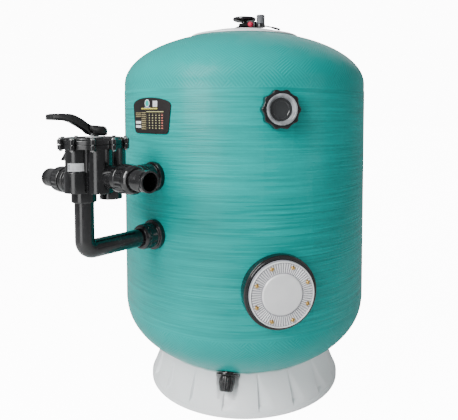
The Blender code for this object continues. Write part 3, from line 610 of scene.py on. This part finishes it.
def swept(points, radii, sides=20):
    """A round bar along a line of points, with its own radius at each."""
    work = bmesh.new()
    loops = []
    for index, (point, radius) in enumerate(zip(points, radii)):
        ahead = Vector(points[min(index + 1, len(points) - 1)]) - Vector(points[max(index - 1, 0)])
        ring = bmesh.ops.create_circle(work, cap_ends=index in (0, len(points) - 1), radius=radius,
                                       segments=sides)["verts"]
        bmesh.ops.transform(work, matrix=Matrix.Translation(point) @ facing(ahead), verts=ring)
        loops.append(ring)
    for first, second in zip(loops, loops[1:]):
        edges = {e for v in first + second for e in v.link_edges
                 if all(end in first for end in e.verts) or all(end in second for end in e.verts)}
        bmesh.ops.bridge_loops(work, edges=list(edges))
    return outward(work)


vent_out = level(radians(52))
vent_start = Vector((RELIEF_X, 0, 1.175)) + vent_out * 0.0154
vent_steps = [i / 12 for i in range(13)]
vent_line = [vent_start + vent_out * 0.051 * t - Vector((0, 0, 0.01 * t ** 1.3)) for t in vent_steps]
vent_sizes = [0.0023 if t < 0.42 else 0.004 - 0.001 * abs(t - 0.75) * 2 for t in vent_steps]
piece("vent_spout", [swept(vent_line, vent_sizes)], black, "vent_tube")

# ---- sand hatch ----
# A thick black ring is bonded into the tank's side.  Its cover is a white glass-filled
# moulding with a smooth middle and fine radial ribs, held by eight brass cap screws.
HATCH_R, COVER_R, PITCH_R = 0.1025, 0.0905, 0.0765
HATCH_FACE, HATCH_FRONT = 0.42, 0.437
HATCH_BOLTS, HATCH_RIBS = 8, 72
hatch_centre = (0, 0, HATCH_Z)
flange = turned([
    (HATCH_R, HATCH_FACE, 0.004), (HATCH_R, 0.373), (0.058, 0.373), (0.058, HATCH_FACE, 0.001),
    (0.096, HATCH_FACE), (0.0968, HATCH_FACE - 0.0008), (0.0985, HATCH_FACE - 0.0008), (0.0993, HATCH_FACE)],
    144)
piece("hatch_ring", [stood(flange, hatch_centre, HATCH_WAY)], black, "hatch_flange")


def ribbed(r, turn, z):
    """Raise fine radial ribs in the cover's outer channel."""
    if z > HATCH_FRONT - 0.006 and 0.059 < r < 0.0846:
        wave = 0.5 + 0.5 * cos(turn * HATCH_RIBS)
        z += 0.0026 * min(1, wave * 1.6)
    return r, turn, z


channel = HATCH_FRONT - 0.0052
cover = [
    (0, HATCH_FRONT), (0.0535, HATCH_FRONT, 0.0015), (0.058, channel, 0.001), (0.0592, channel),
    (0.0605, channel), (0.07, channel), (0.072, channel), (0.0835, channel), (0.0845, channel),
    (0.0855, channel, 0.001), (0.0868, HATCH_FRONT - 0.0012, 0.0006), (0.0895, HATCH_FRONT - 0.0018, 0.0008),
    (COVER_R, HATCH_FRONT - 0.005), (COVER_R, 0.4222), (0, 0.4222)]
spots = [level(tau * (i + 0.5) / HATCH_BOLTS) * PITCH_R for i in range(HATCH_BOLTS)]
boss = [(0, HATCH_FRONT - 0.004), (0.008, HATCH_FRONT - 0.004, 0.0008), (0.0086, 0.43), (0, 0.43)]
bosses = [stood(turned(boss, 28), spot) for spot in spots]
cover_object = mesh_object("hatch_lid", [reshape(turned(cover, HATCH_RIBS * 8), ribbed)] + bosses, 30)
cover_object.data.transform(Matrix.Translation(hatch_centre) @ facing(HATCH_WAY))


def milky():
    """Milk-white plastic, with a painted shade of violet grey down in its ribs and round the cover's sides.
    """
    made, place, x, y, z = finish("milky_plastic", Coat_Weight=0.3, Coat_Roughness=0.1)
    depth = x * HATCH_WAY.x + y * HATCH_WAY.y
    # Painted shade: the ribs' valleys and the cover's sides take a darker violet grey for the shade that
    # falls there.
    rib_shade = 1 - ease(depth, channel + 0.0004, HATCH_FRONT - 0.0022)
    painted_shade_grey = shade(noise(place, 60, 3), (0.4, 0.35, 0.44), (0.42, 0.46, 0.45))
    plain_white = shade(ease(noise(place, 22, 3), 0.3, 0.7), (0.8, 0.8, 0.805), (0.76, 0.76, 0.77))
    rough = 0.24 + noise(place, 40) * 0.16
    return coat(made, shade(rib_shade, plain_white, painted_shade_grey), rough, noise(place, 500), 0.0001, 0.3)


settle(cover_object, milky(), "hatch_cover")


def metal(name, colour, worn, rough, scale=140):
    """Turned metal: fine tool marks and dull spots."""
    made, place, *_ = finish(name, metallic=1)
    marks = noise(place, scale * 6, 2)
    dull_spots = noise(place, scale, 3)
    colour = shade(ease(dull_spots, 0.4, 0.7), colour, worn)
    return coat(made, colour, rough + dull_spots * 0.25, marks, 0.00008, 0.4)


brass = metal("brass", (0.62, 0.4, 0.13), (0.38, 0.22, 0.07), 0.16)
for index, spot in enumerate(spots):
    base = HATCH_FRONT - 0.0039
    washer = turned([(0, base + 0.0012), (0.0062, base + 0.0012, 0.0004), (0.0062, base), (0, base)], 36)
    hexagon = turned([
        (0, base + 0.0034), (0.0046, base + 0.0034), (0.0052, base + 0.003), (0.0052, base + 0.001),
        (0, base + 0.001)], 6)
    crown = [(0.0042 * cos(a), base + 0.0032 + 0.003 * sin(a))
             for a in (pi / 2 * (1 - i / 6) for i in range(7))]
    crown[0] = (0, crown[0][1])
    shank = turned([
        (0, base + 0.0002), (0.003, base + 0.0002), (0.003, HATCH_FACE - 0.019), (0, HATCH_FACE - 0.019)],
        16)
    parts = [washer, hexagon, turned(crown + [(0, base + 0.003)], 24), shank]
    forms = [stood(part, Vector(hatch_centre) + facing(HATCH_WAY) @ spot, HATCH_WAY) for part in parts]
    piece(f"hatch_cap_screw_{index + 1}", forms, brass, f"hatch_bolt_{index + 1}")

# ---- sight glass ----
# A smoky clear cup with a dark window is held in the tank's side by a black nut with ten
# rounded grips, so that the water can be watched during a backwash.
sight_centre = (0, 0, SIGHT_Z)
NUT_LOBES, NUT_LOW, NUT_HIGH = 10, TANK_R + 0.0008, 0.4235


def lobed(r, turn, z):
    """Ten rounded grips on the nut's outside."""
    if r > 0.047:
        wave = 0.5 + 0.5 * cos(turn * NUT_LOBES)
        r += 0.0046 * wave ** 1.5
    return r, turn, z


nut = turned([
    (0.0428, NUT_HIGH), (0.046, NUT_HIGH), (0.0495, NUT_HIGH - 0.0006, 0.002), (0.05, NUT_HIGH - 0.006),
    (0.05, NUT_LOW), (0.0428, NUT_LOW)], 200)
piece("sight_grip_nut", [stood(reshape(nut, lobed), sight_centre, HATCH_WAY)], black, "sight_nut")


def smoky():
    """Clear plastic gone grey, in lighter and darker swirls."""
    made, place, *_ = finish("smoky_plastic", Coat_Weight=0.6, Coat_Roughness=0.05)
    swirl = noise(place, 60, 3)
    colour = shade(ease(swirl, 0.35, 0.65), (0.2, 0.21, 0.22), (0.34, 0.36, 0.38))
    return coat(made, colour, 0.12 + swirl * 0.14, noise(place, 400), 0.0001, 0.3)


ring = turned([
    (0.042, 0.429, 0.0015), (0.042, 0.3885), (0.0495, 0.3885), (0.0495, 0.3785), (0.031, 0.3785),
    (0.031, 0.418), (0.033, 0.4235), (0.0375, 0.429, 0.001)], 144)
piece("sight_cup", [stood(ring, sight_centre, HATCH_WAY)], smoky(), "sight_ring")
smoke = moulded("dark_window", (0.02, 0.022, 0.024), (0.034, 0.036, 0.038), 0.1, Coat_Weight=0.6)
window = turned([
    (0, 0.4152), (0.022, 0.4152), (0.0228, 0.416, 0.0003), (0.025, 0.416, 0.0003), (0.0258, 0.415),
    (0.0304, 0.415), (0.0304, 0.4085), (0, 0.4085)], 96)
piece("sight_window", [stood(window, sight_centre, HATCH_WAY)], smoke, "sight_lens")

# ---- name plate ----
# A thin printed plate with an arched top, glued to the hoops above the valve.  It carries
# only a plain disc, bars and a table of dashes.
PLATE_ANGLE = radians(-92.5)
PLATE_LOW, PLATE_HIGH = (corner.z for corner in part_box("name_plate"))
PLATE_SHOULDER, PLATE_CORNER = 0.081, 0.012
PLATE_FACE = TANK_R + 0.003


def plate_half(z):
    """Half the plate's width at a height, rounded in at the bottom corners."""
    half = 0.076 + 0.01 * min(1, z / PLATE_SHOULDER)
    low = max(0, PLATE_CORNER - z)
    return half - PLATE_CORNER + sqrt(PLATE_CORNER ** 2 - low ** 2)


plate = bmesh.new()
bmesh.ops.create_grid(plate, x_segments=48, y_segments=40, size=1)
for vert in plate.verts:
    u, v = vert.co.x, (vert.co.y + 1) / 2
    arch = PLATE_HIGH - PLATE_LOW - PLATE_SHOULDER
    z = v ** 1.2 * (PLATE_SHOULDER + arch * sqrt(max(0, 1 - u * u)))
    turn = PLATE_ANGLE + u * plate_half(z) / TANK_R
    vert.co = (PLATE_FACE * cos(turn), PLATE_FACE * sin(turn), PLATE_LOW + z)
outward(plate)
if sum(face.normal.dot(face.calc_center_median().normalized()) for face in plate.faces) < 0:
    bmesh.ops.reverse_faces(plate, faces=plate.faces)
bmesh.ops.solidify(plate, geom=plate.faces[:], thickness=0.0021)


def printed():
    """Plate print as plain blocks: s runs across the plate and t up it, in metres."""
    made, place, x, y, z = finish("name_plate_print", Specular_IOR_Level=0.25)
    s = (place.maths("ARCTAN2", y, x) - PLATE_ANGLE) * TANK_R
    t = z - PLATE_LOW

    def box(s_low, s_high, t_low, t_high):
        return (s > s_low) * (s < s_high) * (t > t_low) * (t < t_high)

    def dashes(period_s, share_s, period_t, share_t):
        across = place.maths("FRACT", s / period_s) < share_s
        return across * (place.maths("FRACT", t / period_t) < share_t)

    def disc(s_mid, t_mid, radius):
        return ((s - s_mid) * (s - s_mid) + (t - t_mid) * (t - t_mid)) < radius * radius

    ink = shade(noise(place, 120), (0.01, 0.009, 0.009), (0.018, 0.015, 0.015))
    words = place.maths("FRACT", s / 0.0042 + noise(place, 260) * 1.2) < 0.72
    prints = [
        (box(-0.038, 0.036, 0.069, 0.0726) * words, (0.72, 0.66, 0.12)),
        (box(-0.012, 0.06, 0.061, 0.063), (0.52, 0.5, 0.22)),
        (box(-0.01, 0.05, 0.01, 0.058) * dashes(0.014, 0.34, 0.0072, 0.34), (0.5, 0.47, 0.24)),
        (box(-0.036, -0.014, 0.01, 0.06) * words * dashes(1, 1, 0.0058, 0.42), (0.42, 0.36, 0.18)),
        (box(0.052, 0.058, 0.01, 0.058) * dashes(1, 1, 0.0072, 0.4), (0.55, 0.16, 0.12)),
        (box(-0.07, -0.04, 0.044, 0.062) * words * dashes(1, 1, 0.0052, 0.4), (0.42, 0.36, 0.18)),
        (box(-0.07, -0.04, 0.027, 0.0345), (0.78, 0.8, 0.8)),
        (box(-0.07, -0.04, 0.015, 0.0225), (0.74, 0.77, 0.78)),
        (box(0.018, 0.036, 0.0755, 0.0925), (0.66, 0.68, 0.69)),
        (box(0.021, 0.033, 0.078, 0.09) * dashes(0.003, 0.45, 0.003, 0.55), (0.3, 0.32, 0.33)),
        (disc(-0.008, 0.086, 0.011), (0.62, 0.74, 0.76)),
        (disc(-0.008, 0.086, 0.0085), (0, 0.38, 0.34)),
        (box(-0.022, 0.006, 0.0738, 0.0752), (0.3, 0.42, 0.62))]
    for where, colour in prints:
        ink = shade(where, ink, colour)
    return coat(made, ink, 0.42 + noise(place, 50) * 0.15, noise(place, 300), 0.0001, 0.3)


piece("printed_plate", [outward(plate)], printed(), "name_plate")

# ---- tank connectors and union nuts ----
# Two flanged black connectors are bolted through the tank's wall.  Each takes a pipe with a
# union nut, so that the whole valve can be taken off by hand.
DOWN_Y = (0, -1, 0)
for name, z in (("upper", UPPER_PORT_Z), ("lower", LOWER_PORT_Z)):
    line = [
        (0.026, 0.444), (0.026, 0.4162), (0.0345, 0.4162), (0.0365, 0.415, 0.0008), (0.0372, 0.4125),
        (0.0412, 0.4125, 0.001), (0.043, 0.41, 0.001), (0.043, 0.396), (0.0295, 0.396), (0.0295, 0.3725),
        (0.019, 0.3725), (0.019, 0.444)]
    flange = knurled(turned(line, 96), 12, 0.0012, 0.399, 0.411, 0.041)
    piece(f"{name}_connector", [stood(flange, (0, 0, z), DOWN_Y)], black, f"{name}_bulkhead")


def union_nut(node, centre, way, low, high, outer, inner, throat, ribs):
    """A nut with shallow grips between a plain rim and a rounded shoulder."""
    waist = low + (high - low) * 0.66
    line = [
        (outer - 0.005, high, 0.001), (outer - 0.0012, high - 0.006, 0.002), (outer - 0.0008, waist),
        (outer - 0.002, waist - 0.0006), (outer - 0.002, waist - 0.002), (outer, waist - 0.0028),
        (outer, low + 0.006), (outer, low + 0.0012, 0.0006), (outer - 0.001, low), (inner, low),
        (inner, high - 0.006), (throat, high - 0.006), (throat, high, 0.0008)]
    work = knurled(turned(line, ribs * 10), ribs, 0.0022, low + 0.004, waist - 0.0025, outer - 0.0015)
    piece(node + "_grip", [stood(work, centre, way)], black, node)


union_nut("lower_union_nut", (0, 0, LOWER_PORT_Z), DOWN_Y, 0.4168, 0.455, 0.036, 0.03, 0.0249, 12)
union_nut("upper_union_nut", (0, 0, UPPER_PORT_Z), DOWN_Y, 0.4168, 0.458, 0.038, 0.03, 0.027, 12)

# ---- side ports ----
# A union nut holds a glued tailpiece on each side of the valve: the pump's port on one side
# and the return's on the other, both left open for a pool pipe.
VALVE_Y = middle("valve_cover")[1]
for name, side in (("pump", -1), ("return", 1)):
    low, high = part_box(name + "_tailpiece")
    end = max(abs(low.x), abs(high.x))
    centre, way = (0, VALVE_Y, middle(name + "_tailpiece")[2]), (side, 0, 0)
    union_nut(name + "_union_nut", centre, way, 0.127, 0.17, 0.036, 0.03, 0.0268, 16)
    line = [
        (0.026, end, 0.0008), (0.026, 0.2135), (0.0256, 0.2128), (0.0256, 0.1925), (0.026, 0.1918),
        (0.026, 0.1632), (0.0292, 0.1632), (0.0292, 0.1448), (0.019, 0.1448), (0.019, 0.16), (0.0215, 0.162),
        (0.0215, end, 0.0012)]
    piece(name + "_tail", [stood(turned(line, 96), centre, way)], black, name + "_tailpiece")

# ---- elbow pipe ----
# A solvent-welded pipe drops from the valve's front port, turns a tight corner and runs back
# to the lower connector.
PIPE_R, BEND, PIPE_END = 0.024, 0.026, -0.4448
ELBOW_Y, BODY_LOW = -0.6265, 0.69
pipe = bmesh.new()
bmesh.ops.create_circle(pipe, cap_ends=False, radius=PIPE_R, segments=64,
                        matrix=Matrix.Translation((0, ELBOW_Y, BODY_LOW - 0.0008)))


def drawn(work, edges, by):
    """Extrude an open end along a straight line, and return the new end."""
    made = bmesh.ops.extrude_edge_only(work, edges=edges)["geom"]
    bmesh.ops.translate(work, vec=by, verts=[g for g in made if isinstance(g, bmesh.types.BMVert)])
    return [g for g in made if isinstance(g, bmesh.types.BMEdge)
            and all(len(v.link_faces) <= 2 for v in g.verts) and len(g.link_faces) == 1]


mouth = drawn(pipe, pipe.edges[:], (0, 0, LOWER_PORT_Z + BEND - BODY_LOW + 0.0008))
bend_centre = (0, ELBOW_Y + BEND, LOWER_PORT_Z + BEND)
swung = bmesh.ops.spin(pipe, geom=mouth, cent=bend_centre, axis=(1, 0, 0), angle=pi / 2, steps=14)
mouth = [g for g in swung["geom_last"] if isinstance(g, bmesh.types.BMEdge)]
drawn(pipe, mouth, (0, PIPE_END - ELBOW_Y - BEND, 0))
bmesh.ops.remove_doubles(pipe, verts=pipe.verts, dist=0.00001)
bmesh.ops.holes_fill(pipe, edges=[e for e in pipe.edges if len(e.link_faces) == 1])
sleeve = turned([
    (0, BODY_LOW - 0.0006), (0.031, BODY_LOW - 0.0006), (0.031, 0.6664, 0.0008), (0.029, 0.664, 0.0008),
    (0, 0.664)], 80)
shoulder = turned([(0, 0.4484), (0.0285, 0.4484, 0.001), (0.0285, 0.4446), (0, 0.4446)])
forms = [outward(pipe), stood(sleeve, (0, ELBOW_Y, 0)), stood(shoulder, (0, 0, LOWER_PORT_Z), DOWN_Y)]
piece("bent_pipe", forms, black, "elbow_pipe")

# ---- valve body ----
# One black moulding: five upright chambers round a core, a rim with ten lugs for the cover,
# arms to the three unions, a waste stub beneath, and a paper sticker on the front chamber.
LOBES, LOBE_R, LOBE_PITCH, CORE_R = 5, 0.031, 0.047, 0.056
FOOT_TOP, CHAMBER_LOW, TRUNK_TOP = 0.742, 0.728, 0.803
RIM_LOW, RIM_TOP = 0.799, 0.8096
LUGS, LUG_R, LUG_PITCH = 10, 0.0085, 0.0825


def laid(verts, z, shrink):
    """Lay points on the outline of the core and its chambers, at a height."""
    for vert in verts:
        turn = atan2(vert.co.x, -vert.co.y)
        off = (turn + pi / LOBES) % (tau / LOBES) - pi / LOBES
        across = LOBE_PITCH * sin(off)
        reach = CORE_R
        if abs(across) < LOBE_R:
            reach = max(reach, LOBE_PITCH * cos(off) + sqrt(LOBE_R ** 2 - across ** 2))
        reach -= shrink
        vert.co = (reach * sin(turn), -reach * cos(turn), z)


trunk = bmesh.new()
bmesh.ops.create_circle(trunk, cap_ends=True, radius=1, segments=240)
laid(trunk.verts, BODY_LOW, 0.0012)
top = trunk.faces[:][0]
for z, shrink in ((BODY_LOW + 0.0012, 0), (TRUNK_TOP, 0), (TRUNK_TOP, 0.0035), (CHAMBER_LOW, 0.0035)):
    made = bmesh.ops.extrude_face_region(trunk, geom=[top])["geom"]
    laid([g for g in made if isinstance(g, bmesh.types.BMVert)], z, shrink)
    if top.is_valid and z > BODY_LOW + 0.003:
        bmesh.ops.delete(trunk, geom=[top], context="FACES_ONLY")
    top = next(g for g in made if isinstance(g, bmesh.types.BMFace))
front_foot = turned([
    (0, FOOT_TOP), (LOBE_R + 0.003, FOOT_TOP, 0.001), (LOBE_R + 0.003, 0.6905, 0.001), (0, 0.6905)], 80)
rim = turned([(0.0785, RIM_TOP, 0.0008), (0.0785, RIM_LOW, 0.0008), (0.054, RIM_LOW), (0.054, RIM_TOP)], 120)
forms = [stood(outward(trunk), (0, VALVE_Y, 0)), stood(front_foot, (0, VALVE_Y - LOBE_PITCH, 0)),
         stood(rim, (0, VALVE_Y, 0))]
lug_spots = [Vector((0, VALVE_Y, 0)) + level(tau * i / LUGS) * LUG_PITCH for i in range(LUGS)]
for spot in lug_spots:
    lug = turned([
        (0.0032, RIM_TOP - 0.0004), (LUG_R, RIM_TOP - 0.0004, 0.0008),
        (LUG_R - 0.0006, RIM_LOW - 0.0012, 0.001), (0.0032, RIM_LOW - 0.0012)], 24)
    forms.append(stood(lug, spot))
for name, side in (("pump", -1), ("return", 1)):
    arm = turned([
        (0.027, 0.144), (0.027, 0.1262), (0.033, 0.1256, 0.001), (0.0345, 0.1235, 0.001),
        (0.0345, 0.11, 0.001), (0.032, 0.1075, 0.001), (0.029, 0.106, 0.002), (0.029, 0.056),
        (0.0162, 0.056), (0.0162, 0.144)], 160)
    forms.append(stood(arm, (0, VALVE_Y, middle(name + "_tailpiece")[2]), (side, 0, 0)))
neck = turned([
    (0.0292, 0.1504, 0.0006), (0.0292, 0.1435, 0.0006), (0.0262, 0.1435), (0.0262, 0.0545), (0.0162, 0.0545),
    (0.0162, 0.1504)], 80)
WASTE_Y = -0.5465
waste = turned([
    (0, 0.709), (0.029, 0.709, 0.001), (0.029, 0.663, 0.001), (0.0172, 0.663, 0.0008), (0.0172, 0.6815),
    (0, 0.6815)], 80)
WING_Z = 0.774
wing_way = level(radians(198))
boss = turned([(0, 0.0782), (0.0118, 0.0782, 0.001), (0.0124, 0.07), (0, 0.07)], 40)
forms += [stood(neck, (0, VALVE_Y, UPPER_PORT_Z), (0, 1, 0)), stood(waste, (0, WASTE_Y, 0)),
          stood(boss, (0, VALVE_Y, WING_Z), wing_way)]
piece("valve_moulding", forms, black, "valve_body", sharp=32)

STICKER_LOW, STICKER_HIGH = 0.7456, 0.7653
STICKER_FROM, STICKER_TO = radians(-82), radians(-6)
lobe_y = VALVE_Y - LOBE_PITCH
sticker = bmesh.new()
bmesh.ops.create_grid(sticker, x_segments=24, y_segments=4, size=1)
for vert in sticker.verts:
    turn = STICKER_FROM + (vert.co.x + 1) / 2 * (STICKER_TO - STICKER_FROM)
    z = STICKER_LOW + (vert.co.y + 1) / 2 * (STICKER_HIGH - STICKER_LOW)
    vert.co = ((LOBE_R + 0.0004) * cos(turn), lobe_y + (LOBE_R + 0.0004) * sin(turn), z)
bmesh.ops.solidify(sticker, geom=sticker.faces[:], thickness=0.0002)


def sticker_paper():
    """White paper with a grey block and a few grey bars."""
    made, place, x, y, z = finish("sticker_paper")
    s = (place.maths("ARCTAN2", y - lobe_y, x) - STICKER_FROM) * LOBE_R
    t = z - STICKER_LOW
    bars = (s > 0.01) * (s < 0.036) * (place.maths("FRACT", t / 0.0042) < 0.24)
    bars = bars * (place.maths("FRACT", s / 0.0052) < 0.8)
    mark = (s > 0.0022) * (s < 0.0066) * (t > 0.004) * (t < 0.016) * (place.maths("FRACT", t / 0.0034) < 0.6)
    paper = shade(noise(place, 200), (0.82, 0.83, 0.83), (0.72, 0.74, 0.75))
    colour = shade(bars * 0.45, paper, (0.3, 0.32, 0.36))
    return coat(made, shade(mark, colour, (0.16, 0.18, 0.26)), 0.4 + noise(place, 80) * 0.15)


piece("sticker", [outward(sticker)], sticker_paper(), "valve_body", False)

# ---- winged plug, drain ----
# Two small black plugs: one with a wing for the fingers on the valve's side chamber, and the
# tank's drain at the foot, with a ribbed, tapered cap.
stem = turned([
    (0, 0.0905), (0.0062, 0.0905, 0.001), (0.0088, 0.088, 0.001), (0.0095, 0.083), (0.0095, 0.0786, 0.0004),
    (0, 0.0786)], 48)
wing = block((0.026, 0.0046, 0.013), (0, 0, 0.0945), 0.0016)
forms = [stood(form, (0, VALVE_Y, WING_Z), wing_way) for form in (stem, spun(wing, radians(-50)))]
piece("winged_plug", forms, black, "wing_plug")

drain = turned([
    (0.034, 0.0022), (0.034, 0.008, 0.001), (0.0255, 0.011, 0.001), (0.0175, 0.011), (0.0175, 0.032),
    (0.008, 0.032), (0.008, -0.014), (0.016, -0.014), (0.016, 0.0022)], 72)
piece("drain_spigot", [stood(drain, drain_root, drain_way)], black, "drain_body")
cap = turned([
    (0, 0.052), (0.016, 0.052, 0.002), (0.019, 0.049, 0.001), (0.0215, 0.0385), (0.0235, 0.03, 0.001),
    (0.0235, 0.018), (0.0235, 0.0122, 0.0008), (0.0181, 0.0122), (0.0181, 0.033), (0, 0.033)], 160)
cap = knurled(cap, 16, 0.0016, 0.015, 0.048, 0.0185)
piece("drain_grip_cap", [stood(cap, drain_root, drain_way)], black, "drain_cap")

# ---- valve cover, screws and lever ----
# The cover is clamped by ten steel screws.  The lever turns on a white washer; its cam lifts
# the rotor when the grip is pressed, and a steel pin joins it to the rotor's shaft.
COVER_LOW, COVER_TOP = (corner.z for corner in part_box("valve_cover"))
cover = turned([
    (0.0225, COVER_TOP - 0.003), (0.0635, COVER_TOP - 0.003, 0.0006), (0.066, COVER_TOP, 0.0008),
    (0.0722, COVER_TOP, 0.0008), (0.0742, COVER_TOP - 0.003, 0.001), (0.0785, COVER_TOP - 0.0062, 0.001),
    (0.0785, COVER_LOW, 0.0006), (0.0108, COVER_LOW), (0.0108, COVER_TOP, 0.0005),
    (0.0225, COVER_TOP, 0.0006)], 120)
forms = [stood(cover, (0, VALVE_Y, 0))]
for spot in lug_spots:
    lug = turned([
        (0.0032, COVER_TOP - 0.003), (LUG_R, COVER_TOP - 0.003, 0.001), (LUG_R, COVER_LOW + 0.0004, 0.0006),
        (0.0032, COVER_LOW + 0.0004)], 24)
    forms.append(stood(lug, spot))
for index in range(6):
    tick = block((0.013, 0.0022, 0.0016), (0.0525, 0, COVER_TOP - 0.0025), 0.0006, 2)
    forms.append(stood(spun(tick, pi / 2 + tau * index / 6), (0, VALVE_Y, 0)))
for index in range(30):
    rib = block((0.0066, 0.0016, 0.0046), (0.0752, 0, COVER_TOP - 0.0048), 0.0005, 1)
    forms.append(stood(spun(rib, tau * (index + 0.5) / 30), (0, VALVE_Y, 0)))
piece("valve_cap", forms, black, "valve_cover")

steel = metal("stainless_steel", (0.74, 0.74, 0.73), (0.52, 0.52, 0.51), 0.14)
HEAD_Z, TAIL_Z = COVER_TOP - 0.0026, RIM_LOW - 0.0016
for index, spot in enumerate(lug_spots):
    head = turned([
        (0, HEAD_Z + 0.0042), (0.0038, HEAD_Z + 0.0042), (0.005, HEAD_Z + 0.0036), (0.005, HEAD_Z + 0.0008),
        (0, HEAD_Z + 0.0008)], 6)
    washer = turned([(0, HEAD_Z + 0.001), (0.006, HEAD_Z + 0.001, 0.0003), (0.006, HEAD_Z), (0, HEAD_Z)], 28)
    shank = turned([
        (0, HEAD_Z), (0.0026, HEAD_Z), (0.0026, TAIL_Z - 0.0036), (0.002, TAIL_Z - 0.0042),
        (0, TAIL_Z - 0.0042)], 16)
    nut = turned([
        (0, TAIL_Z), (0.005, TAIL_Z), (0.005, TAIL_Z - 0.0026), (0.0042, TAIL_Z - 0.0032),
        (0, TAIL_Z - 0.0032)], 6)
    parts = [stood(part, spot) for part in (head, washer, shank, nut)]
    piece(f"cover_screw_{index + 1}", parts, steel, f"cover_bolt_{index + 1}")

washer = turned([
    (0.0215, COVER_TOP + 0.0004, 0.0002), (0.0215, 0.8278, 0.0004), (0.0108, 0.8278, 0.0004),
    (0.0108, COVER_TOP + 0.0004)])
piece("lever_washer", [stood(washer, (0, VALVE_Y, 0))], white, "handle_washer")

PIN_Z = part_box("handle_pin")[0].z + 0.0028
LEVER_REACH = VALVE_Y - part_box("handle")[0].y


def curve_through(points, per_span=5):
    """A smooth line through points, with its ends held straight."""
    points = [Vector(p) for p in points]
    held = [points[0] * 2 - points[1]] + points + [points[-1] * 2 - points[-2]]
    line = []
    for a, b, c, d in zip(held, held[1:], held[2:], held[3:]):
        for i in range(per_span):
            t = i / per_span
            line.append(0.5 * (2 * b + (c - a) * t + (2 * a - 5 * b + 4 * c - d) * t * t
                               + (3 * b - a - 3 * c + d) * t ** 3))
    return line + [points[-1]]


def slab(points, width, soften):
    """A side outline of (distance from the pin, height), given a width and soft edges."""
    work = bmesh.new()
    face = work.faces.new([work.verts.new((-width / 2, -s, z)) for s, z in points])
    made = bmesh.ops.extrude_face_region(work, geom=[face])["geom"]
    far = [g for g in made if isinstance(g, bmesh.types.BMVert)]
    bmesh.ops.translate(work, vec=(width, 0, 0), verts=far)
    outward(work)
    rims = [e for e in work.edges if abs(e.verts[0].co.x - e.verts[1].co.x) < 1e-6]
    bmesh.ops.bevel(work, geom=rims, offset=soften, segments=3, profile=0.5, affect="EDGES", material=-1)
    return stood(work, (0, VALVE_Y, 0))


upper = [
    (-0.014, 0.8549), (0.004, 0.8553), (0.018, 0.86), (0.034, 0.8705), (0.052, 0.8798), (0.068, 0.885),
    (0.088, 0.8858), (LEVER_REACH - 0.003, 0.8846)]
under = [
    (LEVER_REACH - 0.002, 0.8706), (0.098, 0.8696), (0.082, 0.8684), (0.066, 0.8636), (0.05, 0.855),
    (0.034, 0.8456), (0.026, 0.8396), (0.02, 0.8335)]
tip = [(LEVER_REACH - 0.0005, 0.8832), (LEVER_REACH, 0.878), (LEVER_REACH - 0.0005, 0.8728)]
roof = [(0.0155, 0.8335), (0.015, 0.8526), (-0.012, 0.8528)]
arm = slab([tuple(p) for p in curve_through(upper)] + tip + [tuple(p) for p in curve_through(under)] + roof,
           0.027, 0.0026)
for vert in arm.verts:
    reach = VALVE_Y - vert.co.y
    share = min(1, max(0, (reach - 0.03) / 0.06))
    vert.co.x *= 0.74 + 0.26 * share ** 1.5
CAM_R, CHEEK_OUT = 0.0132, 0.0114
cam = [(CAM_R * cos(a), PIN_Z + CAM_R * sin(a)) for a in (radians(-112.5 + 12.5 * i) for i in range(10))]
cheek_line = [
    (-0.0298, 0.833), (-0.028, 0.8302), (-0.02, 0.8292), *cam, (0.018, 0.8425), (0.0205, 0.85),
    (0.019, 0.8585), (0.01, 0.8552), (-0.008, 0.855), (-0.019, 0.8546), (-0.0265, 0.851), (-0.03, 0.844)]
cheeks = [stood(slab(cheek_line, 0.01, 0.002), (side * CHEEK_OUT, 0, 0)) for side in (-1, 1)]
piece("lever", cheeks + [arm], black, "handle")
pad = block((0.015, 0.033, 0.0008), (0, VALVE_Y - 0.102, 0.88565), 0.0003, 2)
worn = moulded("worn_grip", (0.1, 0.1, 0.105), (0.17, 0.17, 0.175), 0.3)
bmesh.ops.rotate(pad, cent=(0, VALVE_Y - 0.102, 0.8857), matrix=Matrix.Rotation(radians(1.2), 3, "X"),
                 verts=pad.verts)
piece("lever_pad", [pad], worn, "handle", False)

# ---- pieces inside, kept as they are ----
# The rotor, its spring and gasket, the seals, the risers, the pin, the gauge's needle and its
# lens keep their own shapes and take their real materials.
rubber = moulded("seal_rubber", (0.016, 0.016, 0.016), (0.03, 0.03, 0.029), 0.7)


def lens_plastic():
    """Clear plastic over the gauge's face."""
    made, place, *_ = finish("clear_lens", Transmission_Weight=0.95, IOR=1.46)
    colour = shade(noise(place, 40), (0.95, 0.96, 0.97), (0.9, 0.92, 0.93))
    return coat(made, colour, 0.03 + noise(place, 120) * 0.05)


inside = {"rotor": white, "underdrain": white, "diffuser": black, "lid_seal": rubber, "hatch_seal": rubber,
          "spider_gasket": rubber, "rotor_spring": steel, "handle_pin": steel, "gauge_needle": red,
          "gauge_lens": lens_plastic()}
for node, paint in inside.items():
    kept = frame["nodes"][node]
    kept.data.materials.clear()
    kept.data.materials.append(paint)
